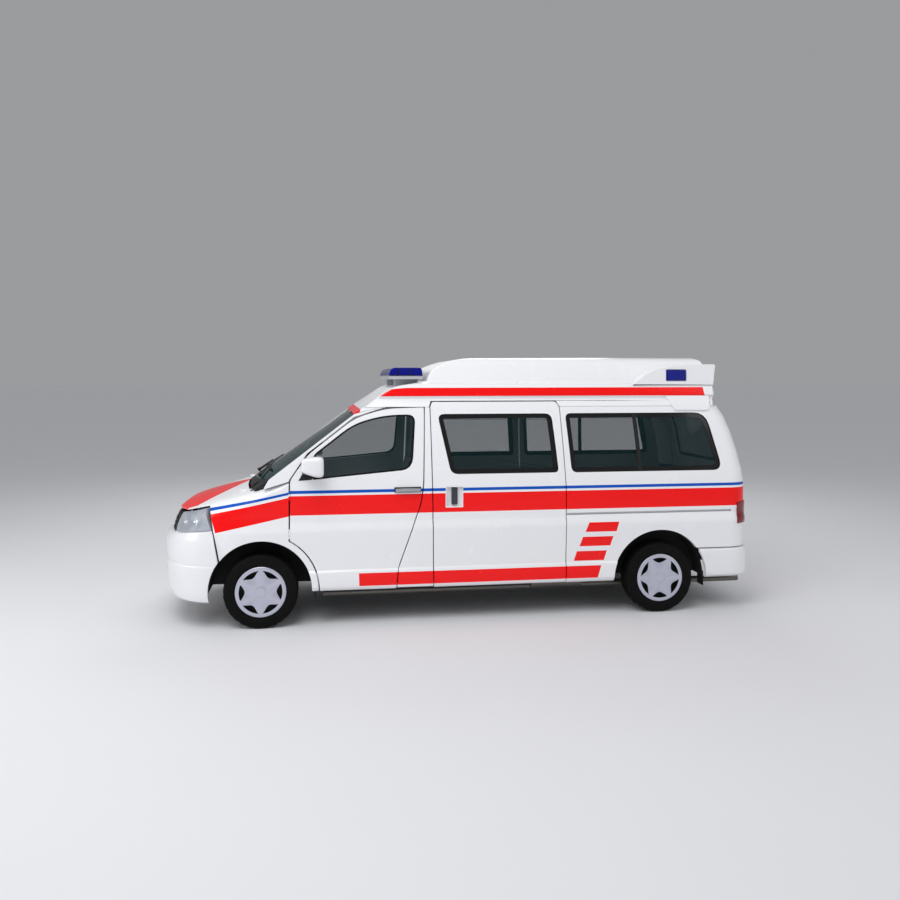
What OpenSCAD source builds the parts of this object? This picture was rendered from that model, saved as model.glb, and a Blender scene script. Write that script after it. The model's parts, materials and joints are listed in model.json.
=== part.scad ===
// Ambulance on a high-roof van body. Stations are measured rearwards from the front axle, heights from the ground.

/* [Overall] */
// Distance between the axles
wheelbase = 3400; // [3250:10:3550]
// Nose ahead of the front axle
front_overhang = 850; // [820:5:880]
// Tail behind the rear axle
rear_overhang = 905; // [880:5:930]
// Body width over the crease
body_w = 1800; // [1740:5:1860]
// Top of the raised roof
roof_z = 2232; // [2200:4:2270]
// Distance between the wheels' mid planes
track = 1544; // [1500:2:1560]

/* [Body heights] */
// Lower edge of the doors
sill_z = 285; // [270:5:300]
// Top of the sill ledge
ledge_z = 462; // [440:2:480]
// Crease along the side
crease_z = 800; // [780:5:820]
// Lower edge of the side windows
belt_z = 1230; // [1200:5:1250]
// Upper edge of the side windows
window_z = 1732; // [1700:4:1745]
// Seam between body and raised roof
gutter_z = 1790; // [1780:2:1800]

/* [Panels] */
// Thickness of doors and side walls
wall_t = 55; // [45:1:60]
// Shut gap around fixed panels
gap = 8; // [6:0.5:10]
// Shut gap at the front doors' leading edge
hinge_gap = 11; // [10:0.5:13]
// Thickness of fenders and hood
skin_t = 20; // [15:1:25]
// Thickness of the raised roof
shell_t = 30; // [24:1:36]
// Thickness of the window glass
glass_t = 6; // [5:0.5:8]
// Distance between pieces that seat on each other
seat = 0.3; // [0.2:0.05:0.5]

/* [Stations] */
// Leading edge of the front doors
door_x = 235; // [225:1:245]
// Leading edge of the sliding doors
slider_x = 1418; // [1400:2:1440]
// Rear window post ahead of the rear axle
post_to_axle = 851; // [830:1:870]

/* [Sliding door rail] */
// Height of the rail slot in the rear quarter
rail_z = 876; // [860:1:890]
// Height of the slot's mouth
rail_h = 16; // [12:1:22]
// Depth of the slot
rail_deep = 22; // [15:1:30]

/* [Wheels] */
// Tyre radius
tyre_r = 300; // [290:1:305]
// Tyre width
tyre_w = 194; // [180:2:200]
// Rim flange radius
rim_r = 205; // [200:1:206]
// Wheel arch radius
arch_r = 412; // [400:2:420]
// Front doors' cut around the wheel arch
door_arch_r = 475; // [465:1:485]
// Spindle radius
spindle_r = 30; // [24:1:34]
// Kingpin radius
kingpin_r = 14; // [12:0.5:16]
// Kingpin distance inwards from the wheel's mid plane
kingpin_in = 72; // [66:1:80]
// Radial running clearance of pins
fit = 0.05; // [0.02:0.01:0.1]

/* [Hidden] */
half_w = body_w / 2;
front_x = front_overhang - (front_overhang + wheelbase + rear_overhang) / 2;
tail_x = wheelbase + rear_overhang;
post_x = wheelbase - post_to_axle;
wheel_y = track / 2;
kingpin_y = wheel_y - kingpin_in;
cut_in = half_w - 600;
cut_out = half_w + 100;
door_top_z = gutter_z + 44;
floor_z = 450;
nose_back = 340;
rear_corner = 190;
hinge_x = door_x - hinge_gap / 2;
hinge_y = half_w - 7;
hood_hinge = [-72, 1098];
gate_hinge = [tail_x - 270, gutter_z - 10];
gate_top = gutter_z - 28;
$fn = 48;

// Side section: height, inset from the widest line
section = [
    [sill_z, 54], [sill_z + 15, 30], [sill_z + 40, 16], [ledge_z - 22, 12], [ledge_z, 26],
    [crease_z - 180, 16], [crease_z - 30, 3], [crease_z, 0], [crease_z + 38, 14], [crease_z + 70, 16],
    [crease_z + 115, 11], [crease_z + 280, 10], [belt_z - 95, 13], [belt_z, 23], [belt_z + 170, 45],
    [belt_z + 330, 71], [window_z - 32, 99], [gutter_z, 121], [door_top_z + 2, 136]];
// Rear face: height, setback from the tail
rear_face = [[0, -72], [545, -70], [1115, -65], [1274, -85], [1520, -145], [1703, -215], [1790, -268], [1840, -300]];
// Front bumper: height, setback of the nose, inset of the sides
nose = [
    [222, 70, 45], [236, 40, 24], [300, 16, 12], [500, 4, 4], [512, 4, 4], [524, 16, 10],
    [536, 8, 7], [640, 0, 3], [700, 6, 7], [735, 24, 14], [757, 60, 30]];
// Station of the front bumper's ends at the fenders
nose_end = -322;
// Front face above the bumper: height, setback of the nose, inset of the sides
brow = [[757, 62, 30], [830, 80, 38], [900, 118, 48], [985, 190, 70]];
// Outlines in side view: station, height, corner cut
front_door = [
    [door_x, sill_z + 5, 0], [1101, sill_z + 5, 0], [1112, 454, 60], [1301, 992, 60], [1325, 1157, 60],
    [1342, gutter_z - 2, 12], [1010, gutter_z - 10, 120], [760, 1700, 90], [380, 1408, 60], [door_x, 1200, 30]];
front_pane = [
    [415, belt_z - 26, 20], [1236, belt_z + 46, 100], [1268, window_z - 2, 70], [985, window_z - 6, 150],
    [740, 1648, 100], [420, 1404, 40]];
slider = [
    [slider_x, sill_z + 5, 0], [post_x, sill_z + 5, 0], [post_x, 1100, 60], [post_x - 31, gutter_z, 12],
    [post_x - 62, door_top_z, 12], [slider_x - 2, door_top_z, 12], [slider_x - 20, gutter_z, 12]];
slider_pane = [
    [1562, belt_z + 2, 60], [post_x - 59, belt_z + 2, 40], [post_x - 104, window_z, 60], [1455, window_z, 60]];
quarter_pane = [
    [post_x + 57, belt_z, 50], [tail_x - 330, belt_z, 90], [tail_x - 455, window_z, 110], [post_x + 19, window_z, 50]];
gate_pane = [
    [340 - half_w, belt_z + 10, 50], [half_w - 340, belt_z + 10, 50], [half_w - 400, 1690, 60], [400 - half_w, 1690, 60]];
// Raised roof: half sections of skirt and box, inset from the widest line then height
skirt_half = [
    for (p = [[122, gutter_z], [148, 1836], [163, 1850], [163, 1868], [147, 1886], [161, 1960], [188, 1988], [250, 2004]]) [half_w - p[0], p[1]]];
box_half = [
    for (p = [[260, 1985], [278, 2060], [308, 2148], [360, roof_z - 32], [470, roof_z - 10]]) [half_w - p[0], p[1]]];
skirt_nose = [748, 1733];
skirt_slope = (1098 - skirt_nose[0]) / (1964 - skirt_nose[1]);
skirt_side = [
    [skirt_nose[0], skirt_nose[1], 0], [1010, gutter_z, 20], [tail_x - 370, gutter_z, 8], [tail_x - 345, 1890, 8], [tail_x - 360, 2012, 30],
    [1387, 2008, 60], [1098, 1964, 60]];
box_side = [
    [1378, 1985, 0], [tail_x - 362, 1985, 0], [tail_x - 372, roof_z - 2, 90], [1650, roof_z - 20, 150], [1425, 2110, 60]];
pod_side = [
    [tail_x - 1117, 1972, 20], [tail_x - 350, 1972, 8], [tail_x - 330, 2160, 20], [tail_x - 665, 2160, 150], [tail_x - 955, 2110, 110]];

pod_lamp = [tail_x - 793, tail_x - 610];

function back_to_front(v) = [for (i = [len(v) - 1:-1:0]) v[i]];
function unit(v) = v / norm(v);
function out_of(a, b) = let (d = b - a) [d[1], -d[0]] / norm(d);
function turn(a, b, c) = sign((b[0] - a[0]) * (c[1] - b[1]) - (b[1] - a[1]) * (c[0] - b[0]));
// Closed outline with cut corners rounded off; grow moves every edge outwards
function outline(k, grow = 0, steps = 4) = let (
    n = len(k),
    p = [for (q = k) [q[0], q[1]]],
    m = [for (i = [0:n - 1]) let (
        a = out_of(p[(i + n - 1) % n], p[i]), b = out_of(p[i], p[(i + 1) % n])) p[i] + grow * (a + b) / (1 + a * b)])
    [for (i = [0:n - 1]) let (
        a = m[(i + n - 1) % n], b = m[i], c = m[(i + 1) % n],
        r = max(0, k[i][2] + (k[i][2] > 0 ? grow * turn(a, b, c) : 0)),
        s = b + r * unit(a - b), e = b + r * unit(c - b))
        each r < 0.5 ? [b] : [for (j = [0:steps]) let (t = j / steps) (1 - t) * (1 - t) * s + 2 * t * (1 - t) * b + t * t * e]];
function half_at(z) = half_w - lookup(z, section);
function rear_at(z) = tail_x + lookup(z, rear_face);
function column(table, z, c) = lookup(z, [for (r = table) [r[0], r[c]]]);
function powered(v, e) = sign(v) * pow(abs(v), e);
// Point on the nose at an angle from straight ahead, with setback and side inset
function nose_at(angle, z, setback, inset) = [
    -nose_back - (front_overhang - nose_back - setback) * powered(cos(angle), 0.87),
    (half_w - 5 - inset) * powered(sin(angle), 0.87), z];
function brow_at(angle, z, deeper) = nose_at(angle, z, column(brow, z, 1) + deeper, column(brow, z, 2) + deeper);
function crown_line(x) = 1188 - 0.298 * (door_x - x);
function hood_z(x, y) = crown_line(x) + 45 * (1 - pow(y / 800, 2)) - 48 * pow(max(0, -640 - x) / 120, 2);
function hood_rear(y) = -152 + 60 * pow(y / 700, 2);
function hood_front(y) = -738 + 138 * pow(y / 600, 2);
function hood_half(x) = 600 + 100 * (x + 600) / 510;
function glass_base(v) = [-100 + 172 * v * v, v * (half_at(1210) - 75.5), 1160 + 50 * v * v];
function glass_head(v) = [744 + 18 * v * v, v * (half_at(1732) - 75.5), 1727 + 5 * v * v];

module at_front() translate([front_x, 0, 0]) children();
module left() mirror([0, 1, 0]) children();
module pair() { children(); left() children(); }
module across(pts, y0, y1) translate([0, y1, 0]) rotate([90, 0, 0]) linear_extrude(y1 - y0) polygon(pts);
module along(pts, x0, x1) translate([x0, 0, 0]) rotate([90, 0, 90]) linear_extrude(x1 - x0) polygon(pts);
module block(a, b) translate(a) cube(b - a);
module pin(x, z, r, y0, y1) translate([x, y1, z]) rotate([90, 0, 0]) cylinder(r = r, h = y1 - y0);
module post(x, y, r, z0, z1) translate([x, y, z0]) cylinder(r = r, h = z1 - z0);
// Side wall between two depths, following the section
module wall(d0, d1, x0, x1)
    along(concat([for (s = section) [half_w - s[1] - d0, s[0]]], back_to_front([for (s = section) [half_w - s[1] - d1, s[0]]])), x0, x1);
// Closed skin between two grids of points
module slab(a, b) {
    nr = len(a);
    nc = len(a[0]);
    n = nr * nc;
    function k(r, c) = r * nc + c;
    polyhedron(
        concat([for (r = a) each r], [for (r = b) each r]),
        concat(
            [for (r = [0:nr - 2], c = [0:nc - 2]) each [[k(r, c), k(r + 1, c), k(r + 1, c + 1)], [k(r, c), k(r + 1, c + 1), k(r, c + 1)]]],
            [for (r = [0:nr - 2], c = [0:nc - 2]) each [[n + k(r, c), n + k(r + 1, c + 1), n + k(r + 1, c)], [n + k(r, c), n + k(r, c + 1), n + k(r + 1, c + 1)]]],
            [for (c = [0:nc - 2]) each [[k(0, c), k(0, c + 1), n + k(0, c + 1)], [k(0, c), n + k(0, c + 1), n + k(0, c)]]],
            [for (c = [0:nc - 2]) each [[k(nr - 1, c), n + k(nr - 1, c + 1), k(nr - 1, c + 1)], [k(nr - 1, c), n + k(nr - 1, c), n + k(nr - 1, c + 1)]]],
            [for (r = [0:nr - 2]) each [[k(r, 0), n + k(r, 0), n + k(r + 1, 0)], [k(r, 0), n + k(r + 1, 0), k(r + 1, 0)]]],
            [for (r = [0:nr - 2]) each [[k(r, nc - 1), n + k(r + 1, nc - 1), n + k(r, nc - 1)], [k(r, nc - 1), k(r + 1, nc - 1), n + k(r + 1, nc - 1)]]]));
}

// Lower structure
module wheel_house(x, r, y0, y1) difference() {
    pin(x, tyre_r, r + 8, y0, y1);
    pin(x, tyre_r, r, y0 + 8, y1 + 1);
    block([x - r - 20, y0 - 1, -200], [x + r + 20, y1 + 1, tyre_r - 10]);
    block([x - 120, y0 - 1, 0], [x + 120, y0 + 20, 430]);
}
module underbody() color([0.2, 0.2, 0.21]) at_front() {
    difference() {
        union() {
            block([-15, -486, floor_z - 30], [445, 486, floor_z]);
            block([435, -770, floor_z - 30], [tail_x - 135, 770, floor_z]);
            block([-20, -480, 405], [0, 480, 1079]);
            block([-20, -780, 715], [0, 780, 1079]);
            pair() block([-600, 330, 355], [tail_x - 150, 390, floor_z - 20]);
            pair() intersection() {
                block([-830, 330, 355], [-590, 390, floor_z - 20]);
                slab([for (r = nose) [for (a = [-88:8:88]) nose_at(-a, r[0], r[1] + 45 + seat, r[2] + 30 + seat)]],
                    [for (r = nose) [for (a = [-88:8:88]) nose_at(-a, r[0], r[1] + 320, r[2] + 320)]]);
            }
            pair() intersection() {
                block([tail_x - 160, 330, 355], [tail_x, 390, floor_z - 20]);
                union() {
                    block([tail_x - 160, 330, 300], [tail_x - 95, 390, floor_z]);
                    slab([for (z = bumper_rows) tail_row(z, 40 + seat)], [for (z = bumper_rows) tail_row(z, 110)]);
                }
            }
            pair() block([490, 690, 310], [post_x + 420, 760, floor_z - 10]);
            pair() block([-90, 525, 1050], [-10, 595, 1079]);
            pair() for (y = [536, 578]) {
                block([-80, y, 1070], [-64, y + 12, hood_hinge[1]]);
                pin(hood_hinge[0], hood_hinge[1], 9, y, y + 12);
            }
            pair() pin(hood_hinge[0], hood_hinge[1], 5, 530, 596);
            block([tail_x - 190, -660, 330], [tail_x - 150, 660, floor_z - 10]);
        }
        pair() block([wheelbase - 424, 604, 200], [wheelbase + 424, 900, 600]);
        pair() block([tail_x - 400, 690, 200], [tail_x, 900, 600]);
    }
    pair() wheel_house(0, arch_r + 6, 490, 830);
    pair() wheel_house(wheelbase, arch_r + 8, 600, 792);
}
module hinge_bracket(z) {
    for (s = [z - 40, z + 16]) {
        post(hinge_x, hinge_y, hinge_gap / 2 - 0.3, s, s + 24);
        block([hinge_x - 2, 800, s], [hinge_x + 2, hinge_y, s + 24]);
    }
    post(hinge_x, hinge_y, 3, z - 40, z + 40);
}
function corner_row(z, d) = let (h = half_at(z), xs = rear_at(z) - rear_corner, r = rear_corner - d)
    concat(
        [[lookup(z, [[1100, post_x + gap], [gutter_z, post_x - 31 + gap]]), h - d, z], [(post_x + xs) / 2, h - d, z]],
        [for (a = [0:18:90]) [xs + r * sin(a), h - rear_corner + r * cos(a), z]],
        [[xs + r, h - rear_corner - 15, z]]);
module quarter() difference() {
    slab([for (s = back_to_front([for (s = section) if (s[0] <= gutter_z) s])) corner_row(s[0] - (s[0] == gutter_z ? 0.5 : 0), 0)],
        [for (s = back_to_front([for (s = section) if (s[0] <= gutter_z) s])) corner_row(s[0] - (s[0] == gutter_z ? 0.5 : 0), wall_t)]);
    across(outline(quarter_pane), cut_in, cut_out);
    block([post_x - 100, half_at(rail_z) - rail_deep, rail_z - rail_h / 2], [tail_x - 251, cut_out, rail_z + rail_h / 2]);
    pin(wheelbase, tyre_r + 4, arch_r + 4, cut_in, cut_out);
    block([wheelbase + 200, cut_in, 0], [tail_x + 100, cut_out, 553]);
}
module body_side() {
    difference() {
        block([hinge_x - 1.5, 750, 300], [300, 806, 1186]);
        pin(0, tyre_r, arch_r + 20, 700, 900);
    }
    block([hinge_x - 1.5, 750, 1140], [300, 812, 1290]);
    intersection() {
        wall(0, 75, 20, 1100);
        across([[20, crown_line(20) + 8], [door_x - 9, crown_line(door_x - 9) + 8], [door_x - 9, 1205], [372, 1418], [752, 1710],
            [1008, gutter_z - 1], [1008, gutter_z - 0.5], [880, 1766], [765, 1738], [60, 1203]], cut_in, cut_out);
    }
    intersection() {
        wall(63, 110, 700, tail_x);
        across([[800, 1744], [tail_x - 440, 1744], [tail_x - 440, gutter_z - 0.5], [1008, gutter_z - 0.5], [850, 1758]], cut_in, cut_out);
    }
    intersection() {
        wall(0, 110, 1000, 1500);
        across([[1110, 300], [slider_x - gap, 300], [slider_x - 20 - gap, gutter_z - 0.5], [1351, gutter_z - 0.5],
            [1334, 1157], [1310, 992], [1121, 454]], cut_in, cut_out);
    }
    block([1120, 760 + seat, 312], [slider_x - 15, 800, floor_z - 40]);
    intersection() {
        wall(40, 110, post_x - 10, tail_x - 450);
        across([[post_x - 15, 1744], [tail_x - 455, 1744], [tail_x - 455, gutter_z - 0.5], [post_x - 15, gutter_z - 0.5]], cut_in, cut_out);
    }
    intersection() {
        wall(63, 75, 780, 1200);
        across([[790, 1742], [1100, 1742], [1100, gutter_z - 1], [900, 1762]], cut_in, cut_out);
    }
    quarter();
    for (z = [770, 1080]) hinge_bracket(z);
}
module body_sides() color([0.93, 0.93, 0.94]) at_front() pair() body_side();

// Raised roof
function mirrored(half, top) = concat(half, [[0, top]], back_to_front([for (p = half) [-p[0], p[1]]]));
module skirt_body(d) intersection() {
    along(d == 0 ? mirrored(skirt_half, 2012)
        : mirrored([for (p = skirt_half) [p[0] - d, p[1] - (p[1] > 1960 ? d : 0)]], 2012 - d), 700, tail_x);
    across(outline(skirt_side, -d), -900, 900);
}
module box_body(d) intersection() {
    along(mirrored([for (p = box_half) [p[0] - d, p[1] - (p[1] > 2100 ? d : 0)]], roof_z - d), 1300, tail_x);
    across(outline(box_side, -d), -900, 900);
}
module raised_roof() color([0.93, 0.93, 0.94]) at_front() {
    difference() {
        union() { skirt_body(0); box_body(0); }
        skirt_body(shell_t);
        translate([0, 0, -60]) box_body(shell_t);
        box_body(shell_t);
        block([1040, -715, 1700], [tail_x - 400, 715, 1840]);
        pair() across([[slider_x - 32, 1700], [post_x - 20, 1700], [post_x - 23, gutter_z], [post_x - 52, door_top_z + gap],
            [slider_x - 12, door_top_z + gap], [slider_x - 30, gutter_z]], 690, 900);
    }
    roof_lip();
    pair() roof_corner();
    block([tail_x - 410, -570, gutter_z - 42], [tail_x - 310, 570, gutter_z + 12]);
    pair() for (y = [410, 462]) {
        block([tail_x - 320, y, gate_hinge[1] - 7], [gate_hinge[0], y + 20, gate_hinge[1] + 7]);
        pin(gate_hinge[0], gate_hinge[1], 9, y, y + 20);
    }
    pair() pin(gate_hinge[0], gate_hinge[1], 5, 405, 487);
}
// Front lip of the skirt, which closes the roof down to the windshield and the front pillars
module roof_lip() intersection() {
    along(mirrored([for (z = [1725, gutter_z, gutter_z + 2]) [half_at(min(z, gutter_z)), z]], gutter_z + 2), 700, 1100);
    across([skirt_nose, [765.5, 1738 + seat], [880, 1766 + seat], [1008, gutter_z], [1010, gutter_z + 2],
        [skirt_nose[0] + (gutter_z + 2 - skirt_nose[1]) * skirt_slope, gutter_z + 2]], -900, 900);
}
// Rear corner of the skirt, which laps over the body side
module roof_corner() intersection() {
    union() {
        intersection() {
            wall(-8, -seat, tail_x - 900, tail_x);
            block([tail_x - 900, 0, gutter_z - 60], [tail_x, cut_out, gutter_z]);
        }
        along([[half_w - 175, gutter_z], [half_at(gutter_z) + 8, gutter_z], [half_at(door_top_z) + 8, door_top_z],
            [half_w - 146, 1884], [half_w - 175, 1884]], tail_x - 900, tail_x);
    }
    across([[tail_x - 815, 1884], [tail_x - 790, 1850], [tail_x - 738, gutter_z - 38], [tail_x - 431, gutter_z - 40],
        [tail_x - 401, gutter_z + 6], [tail_x - 395, 1884]], cut_in, cut_out);
}
module roof_pods() color([0.93, 0.93, 0.94]) at_front() difference() {
    union() {
        pair() across(outline(pod_side), half_w - 315, half_w - 155);
        block([tail_x - 357, 300 - half_w, 1985], [tail_x - 335, half_w - 300, 2130]);
    }
    skirt_body(-seat);
    box_body(-seat);
    pair() block([pod_lamp[0], half_w - 180, 2014], [pod_lamp[1], half_w - 100, 2110]);
}
module light_bar() color([0.55, 0.56, 0.58]) at_front() {
    difference() {
        pair() block([1120, 380, 1940], [1330, 440, 2026]);
        skirt_body(-seat);
    }
    across(outline([[1070, 2026, 14], [1352, 2026, 14], [1362, 2056, 4], [1060, 2056, 4]]), -560, 560);
}
module blue_lenses() color([0.02, 0.06, 0.55]) at_front() {
    across(outline([[1062, 2056 + seat, 2], [1360, 2056 + seat, 2], [1352, 2128, 30], [1084, 2128, 40]]), -556, 556);
    pair() block([pod_lamp[0] + seat, half_w - 180 + seat, 2014 + seat], [pod_lamp[1] - seat, half_w - 148, 2110 - seat]);
}

// Glass
module windshield() color([0.3, 0.42, 0.45, 0.6]) at_front()
    slab([for (u = [0, 0.5, 1]) [for (v = [1:-0.125:-1]) glass_base(v) + u * (glass_head(v) - glass_base(v))]],
        [for (u = [0, 0.5, 1]) [for (v = [1:-0.125:-1]) glass_base(v) + u * (glass_head(v) - glass_base(v)) + glass_t * [0.56, 0, -0.83]]]);
module pane(edge, grow, depth) intersection() {
    wall(depth, depth + glass_t, 200, tail_x - 100);
    across(outline(edge, grow), cut_in, cut_out);
}
module side_windows() color([0.3, 0.42, 0.45, 0.6]) at_front() pair() {
    pane(slider_pane, -seat, 14);
    pane(quarter_pane, -seat, 14);
}

// Sliding doors
module sliding_doors() color([0.93, 0.93, 0.94]) at_front() pair() {
    block([slider_x + 80, 760 + seat, 370], [slider_x + 160, 836, 400]);
    sliding_door();
}
module sliding_door() difference() {
    intersection() {
        wall(0, wall_t, 1300, post_x + 50);
        across(outline(slider, 0), cut_in, cut_out);
    }
    across(outline(slider_pane), cut_in, cut_out);
    block([1520, half_at(1000) - 26, 965], [1657, cut_out, 1134]);
}
module sliding_door_handles() color([0.16, 0.16, 0.17]) at_front() pair()
    translate([1588, half_at(1000) - 26 + seat, 1050]) rotate([-90, 0, 0]) linear_extrude(24)
        polygon(outline([[-26, -72, 12], [26, -72, 12], [26, 72, 12], [-26, 72, 12]]));

// Front end
function fender_side(x, z) = half_at(z) - column([[300, 8], [757, 30], [985, 70], [1120, 80]], z, 1) * pow(max(0, -x) / 400, 2);
function fender_row(x, d) = let (
    top = crown_line(x) - 14 - 116 * pow((door_x - x) / 640, 0.8), ys = fender_side(x, top), ye = hood_half(x) + 6, ze = hood_z(x, ye))
    concat(
        [for (z = [sill_z + 5, ledge_z - 22, ledge_z, crease_z - 180, crease_z - 30]) [x, fender_side(x, z) - d, z]],
        [for (z = [crease_z, crease_z + 38, crease_z + 115]) let (zz = min(z, top - 20 + (z - crease_z) / 20)) [x, fender_side(x, zz) - d, zz]],
        [for (a = [0:15:90]) [x, ye + (ys - ye) * cos(a) - d * cos(a), top + (ze - top) * sin(a) - d * sin(a)]]);
fender_stations = [-600, -540, -470, -400, -330, -240, -120, 0, 120, door_x - hinge_gap];
module fender() difference() {
    intersection() {
        slab([for (x = fender_stations) fender_row(x, 0)], [for (x = fender_stations) fender_row(x, skin_t)]);
        across([[-322, 540], [-250, 290], [door_x, 290], [door_x, 1250], [-300, 1250], [-640, 1010], [-600, 952], [-412, 992], [-374, 800], [-364, 757]], cut_in, cut_out);
    }
    pin(0, tyre_r + 4, arch_r, cut_in, cut_out);
}
module arch_band() intersection() {
    difference() {
        wall(0, skin_t, door_x - hinge_gap - 0.01, 500);
        pin(0, tyre_r + 4, arch_r, cut_in, cut_out);
    }
    pin(0, tyre_r, door_arch_r - gap - 2, cut_in, cut_out);
    block([100, cut_in, 292], [600, cut_out, 712]);
}
module front_fenders() color([0.93, 0.93, 0.94]) at_front() pair() {
    fender();
    arch_band();
}
module hood() color([0.93, 0.93, 0.94]) at_front() {
    slab([for (u = [0, 0.12, 0.25, 0.5, 0.75, 1]) [for (v = [1:-0.2:-1]) hood_point(u, v, 0)]],
        [for (u = [0, 0.12, 0.25, 0.5, 0.75, 1]) [for (v = [1:-0.2:-1]) hood_point(u, v, skin_t)]]);
    pair() difference() {
        union() {
            block([-190, 549, hood_hinge[1] - 9], [hood_hinge[0], 577, hood_hinge[1] + 3]);
            pin(hood_hinge[0], hood_hinge[1], 9, 549, 577);
        }
        pin(hood_hinge[0], hood_hinge[1], 5 + fit, 540, 590);
    }
}
function hood_point(u, v, d) = let (
    y = v * (600 + 100 * u), x = hood_front(y) + u * (hood_rear(y) - hood_front(y))) [x, y, hood_z(x, y) - d];
function nose_row(z, setback, inset) = concat(
    [[nose_end, 895 - inset, z]], [for (a = [-88:8:88]) nose_at(-a, z, setback, inset)], [[nose_end, inset - 895, z]]);
module front_bumper() color([0.93, 0.93, 0.94]) at_front() difference() {
    slab([for (r = nose) nose_row(r[0], r[1], r[2])], [for (r = nose) nose_row(r[0], r[1] + 45, r[2] + 30)]);
    pair() pin(0, tyre_r + 4, arch_r + 4, cut_in, cut_out);
    pair() across([[-332, 530], [-200, 530], [-200, 900], [-384, 800], [-374, 757]], cut_in, cut_out);
    block([-1000, -300, 290], [-700, 300, 440]);
}
module grille() color([0.12, 0.12, 0.13]) at_front() difference() {
    slab([for (z = [757 + seat, 800, 840, 880]) [for (a = [-34:8.5:34]) brow_at(-a, z, 0)]],
        [for (z = [757 + seat, 800, 840, 880]) [for (a = [-34:8.5:34]) brow_at(-a, z, 40)]]);
    for (i = [0:2]) block([-900, -490, 775 + 34 * i], [-500, 490, 796 + 34 * i]);
}
module headlamps() color([0.75, 0.78, 0.82]) at_front() pair()
    slab([for (t = [0, 0.33, 0.66, 1]) [for (s = [1:-0.125:0]) lamp_at(s, t, 0)]],
        [for (t = [0, 0.33, 0.66, 1]) [for (s = [1:-0.125:0]) lamp_at(s, t, 90)]]);
function lamp_at(s, t, d) = let (
    low = 757 + seat + 50 * s, high = 916 + 60 * s, z = low + t * (high - low)) brow_at(36 + s * (49 - 10 * t), z, d);
module cowl() color([0.08, 0.08, 0.09]) at_front() difference() {
    union() {
        slab([for (t = [0, 1]) [for (v = cowl_columns) cowl_at(t, v, 0)]], [for (t = [0, 1]) [for (v = cowl_columns) cowl_at(t, v, 50)]]);
        block([-85, -660, 1079 + seat], [-5, 660, 1110]);
    }
    pair() block([-140, 524, 1040], [-30, 600, 1300]);
}
cowl_columns = [0.99, 0.93, 0.86, 0.75, 0.625, 0.5, 0.375, 0.25, 0.125, 0, -0.125, -0.25, -0.375, -0.5, -0.625, -0.75, -0.86, -0.93, -0.99];
function cowl_at(t, v, d) = let (
    g = glass_base(v), y = g[1], x = hood_rear(y) + 20, wide = abs(v) > 0.8,
    f = [x, y, wide ? crown_line(x) + 22 : hood_z(x, y) + 4],
    p = f + t * (g - f - [0.8, 0, 0.6])) [p[0], p[1], d == 0 ? p[2] : wide ? crown_line(p[0]) + 13 : p[2] - d];
module wipers() color([0.06, 0.06, 0.06]) at_front() for (y = [-500, 80]) {
    slab([for (u = [0.14, 0.12]) [for (t = [0:0.125:1]) on_glass(u + 0.03 * t, y + 540 * t, 16)]],
        [for (u = [0.14, 0.12]) [for (t = [0:0.125:1]) on_glass(u + 0.03 * t, y + 540 * t, 2 * seat)]]);
    hull() {
        translate(on_glass(0.135, y + 270, 18)) sphere(r = 9, $fn = 10);
        translate(on_glass(0.03, y + 60, 18)) sphere(r = 12, $fn = 10);
    }
    hull() for (d = [14, 24]) translate(on_glass(0.03, y + 60, d)) sphere(r = 13, $fn = 10);
}
function on_glass(u, y, d) = let (v = y / 800, g = glass_base(v) + u * (glass_head(v) - glass_base(v))) [g[0] - 0.56 * d, y, g[2] + 0.83 * d];

// Rear end
function tail_row(z, d) = let (
    s = lookup(z, [[290, 40], [308, 10], [330, 2], [500, 0], [535, 6], [546, 36]]) + d, r = 210)
    concat(
        [[wheelbase + 360, half_w - 2 - s, z]],
        [for (a = [0:15:75]) [tail_x - 40 - r + (r - s) * sin(a), half_w - 2 - r + (r - s) * cos(a), z]],
        [for (y = [500, 250, 0, -250, -500]) [tail_x - s - 40 * pow(y / 700, 2), y, z]],
        [for (a = [75:-15:0]) [tail_x - 40 - r + (r - s) * sin(a), -(half_w - 2 - r + (r - s) * cos(a)), z]],
        [[wheelbase + 360, -(half_w - 2 - s), z]]);
bumper_rows = [546, 535, 500, 330, 308, 290];
module rear_bumper() color([0.93, 0.93, 0.94]) at_front() difference() {
    slab([for (z = bumper_rows) tail_row(z, 0)], [for (z = bumper_rows) tail_row(z, 40)]);
    pair() pin(wheelbase, tyre_r + 4, arch_r + 4, cut_in, cut_out);
}
module tail_lamps() color([0.55, 0.03, 0.04]) at_front() pair()
    slab([for (dz = lens_rows) [for (a = [18:18:90]) lens_at(crease_z + dz, a, -10)]],
        [for (dz = lens_rows) [for (a = [18:18:90]) lens_at(crease_z + dz, a, -seat)]]);
lens_rows = [145, 115, 70, 38, 0, -30, -40];
function lens_at(z, a, d) = let (r = rear_corner - d) [rear_at(z) - rear_corner + r * sin(a), half_at(z) - rear_corner + r * cos(a), z];
function gate_at(z, v, d) = let (w = half_at(z) - rear_corner - 15 - gap) [rear_at(z) - d - 14 * v * v + 14, v * w, z];
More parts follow.
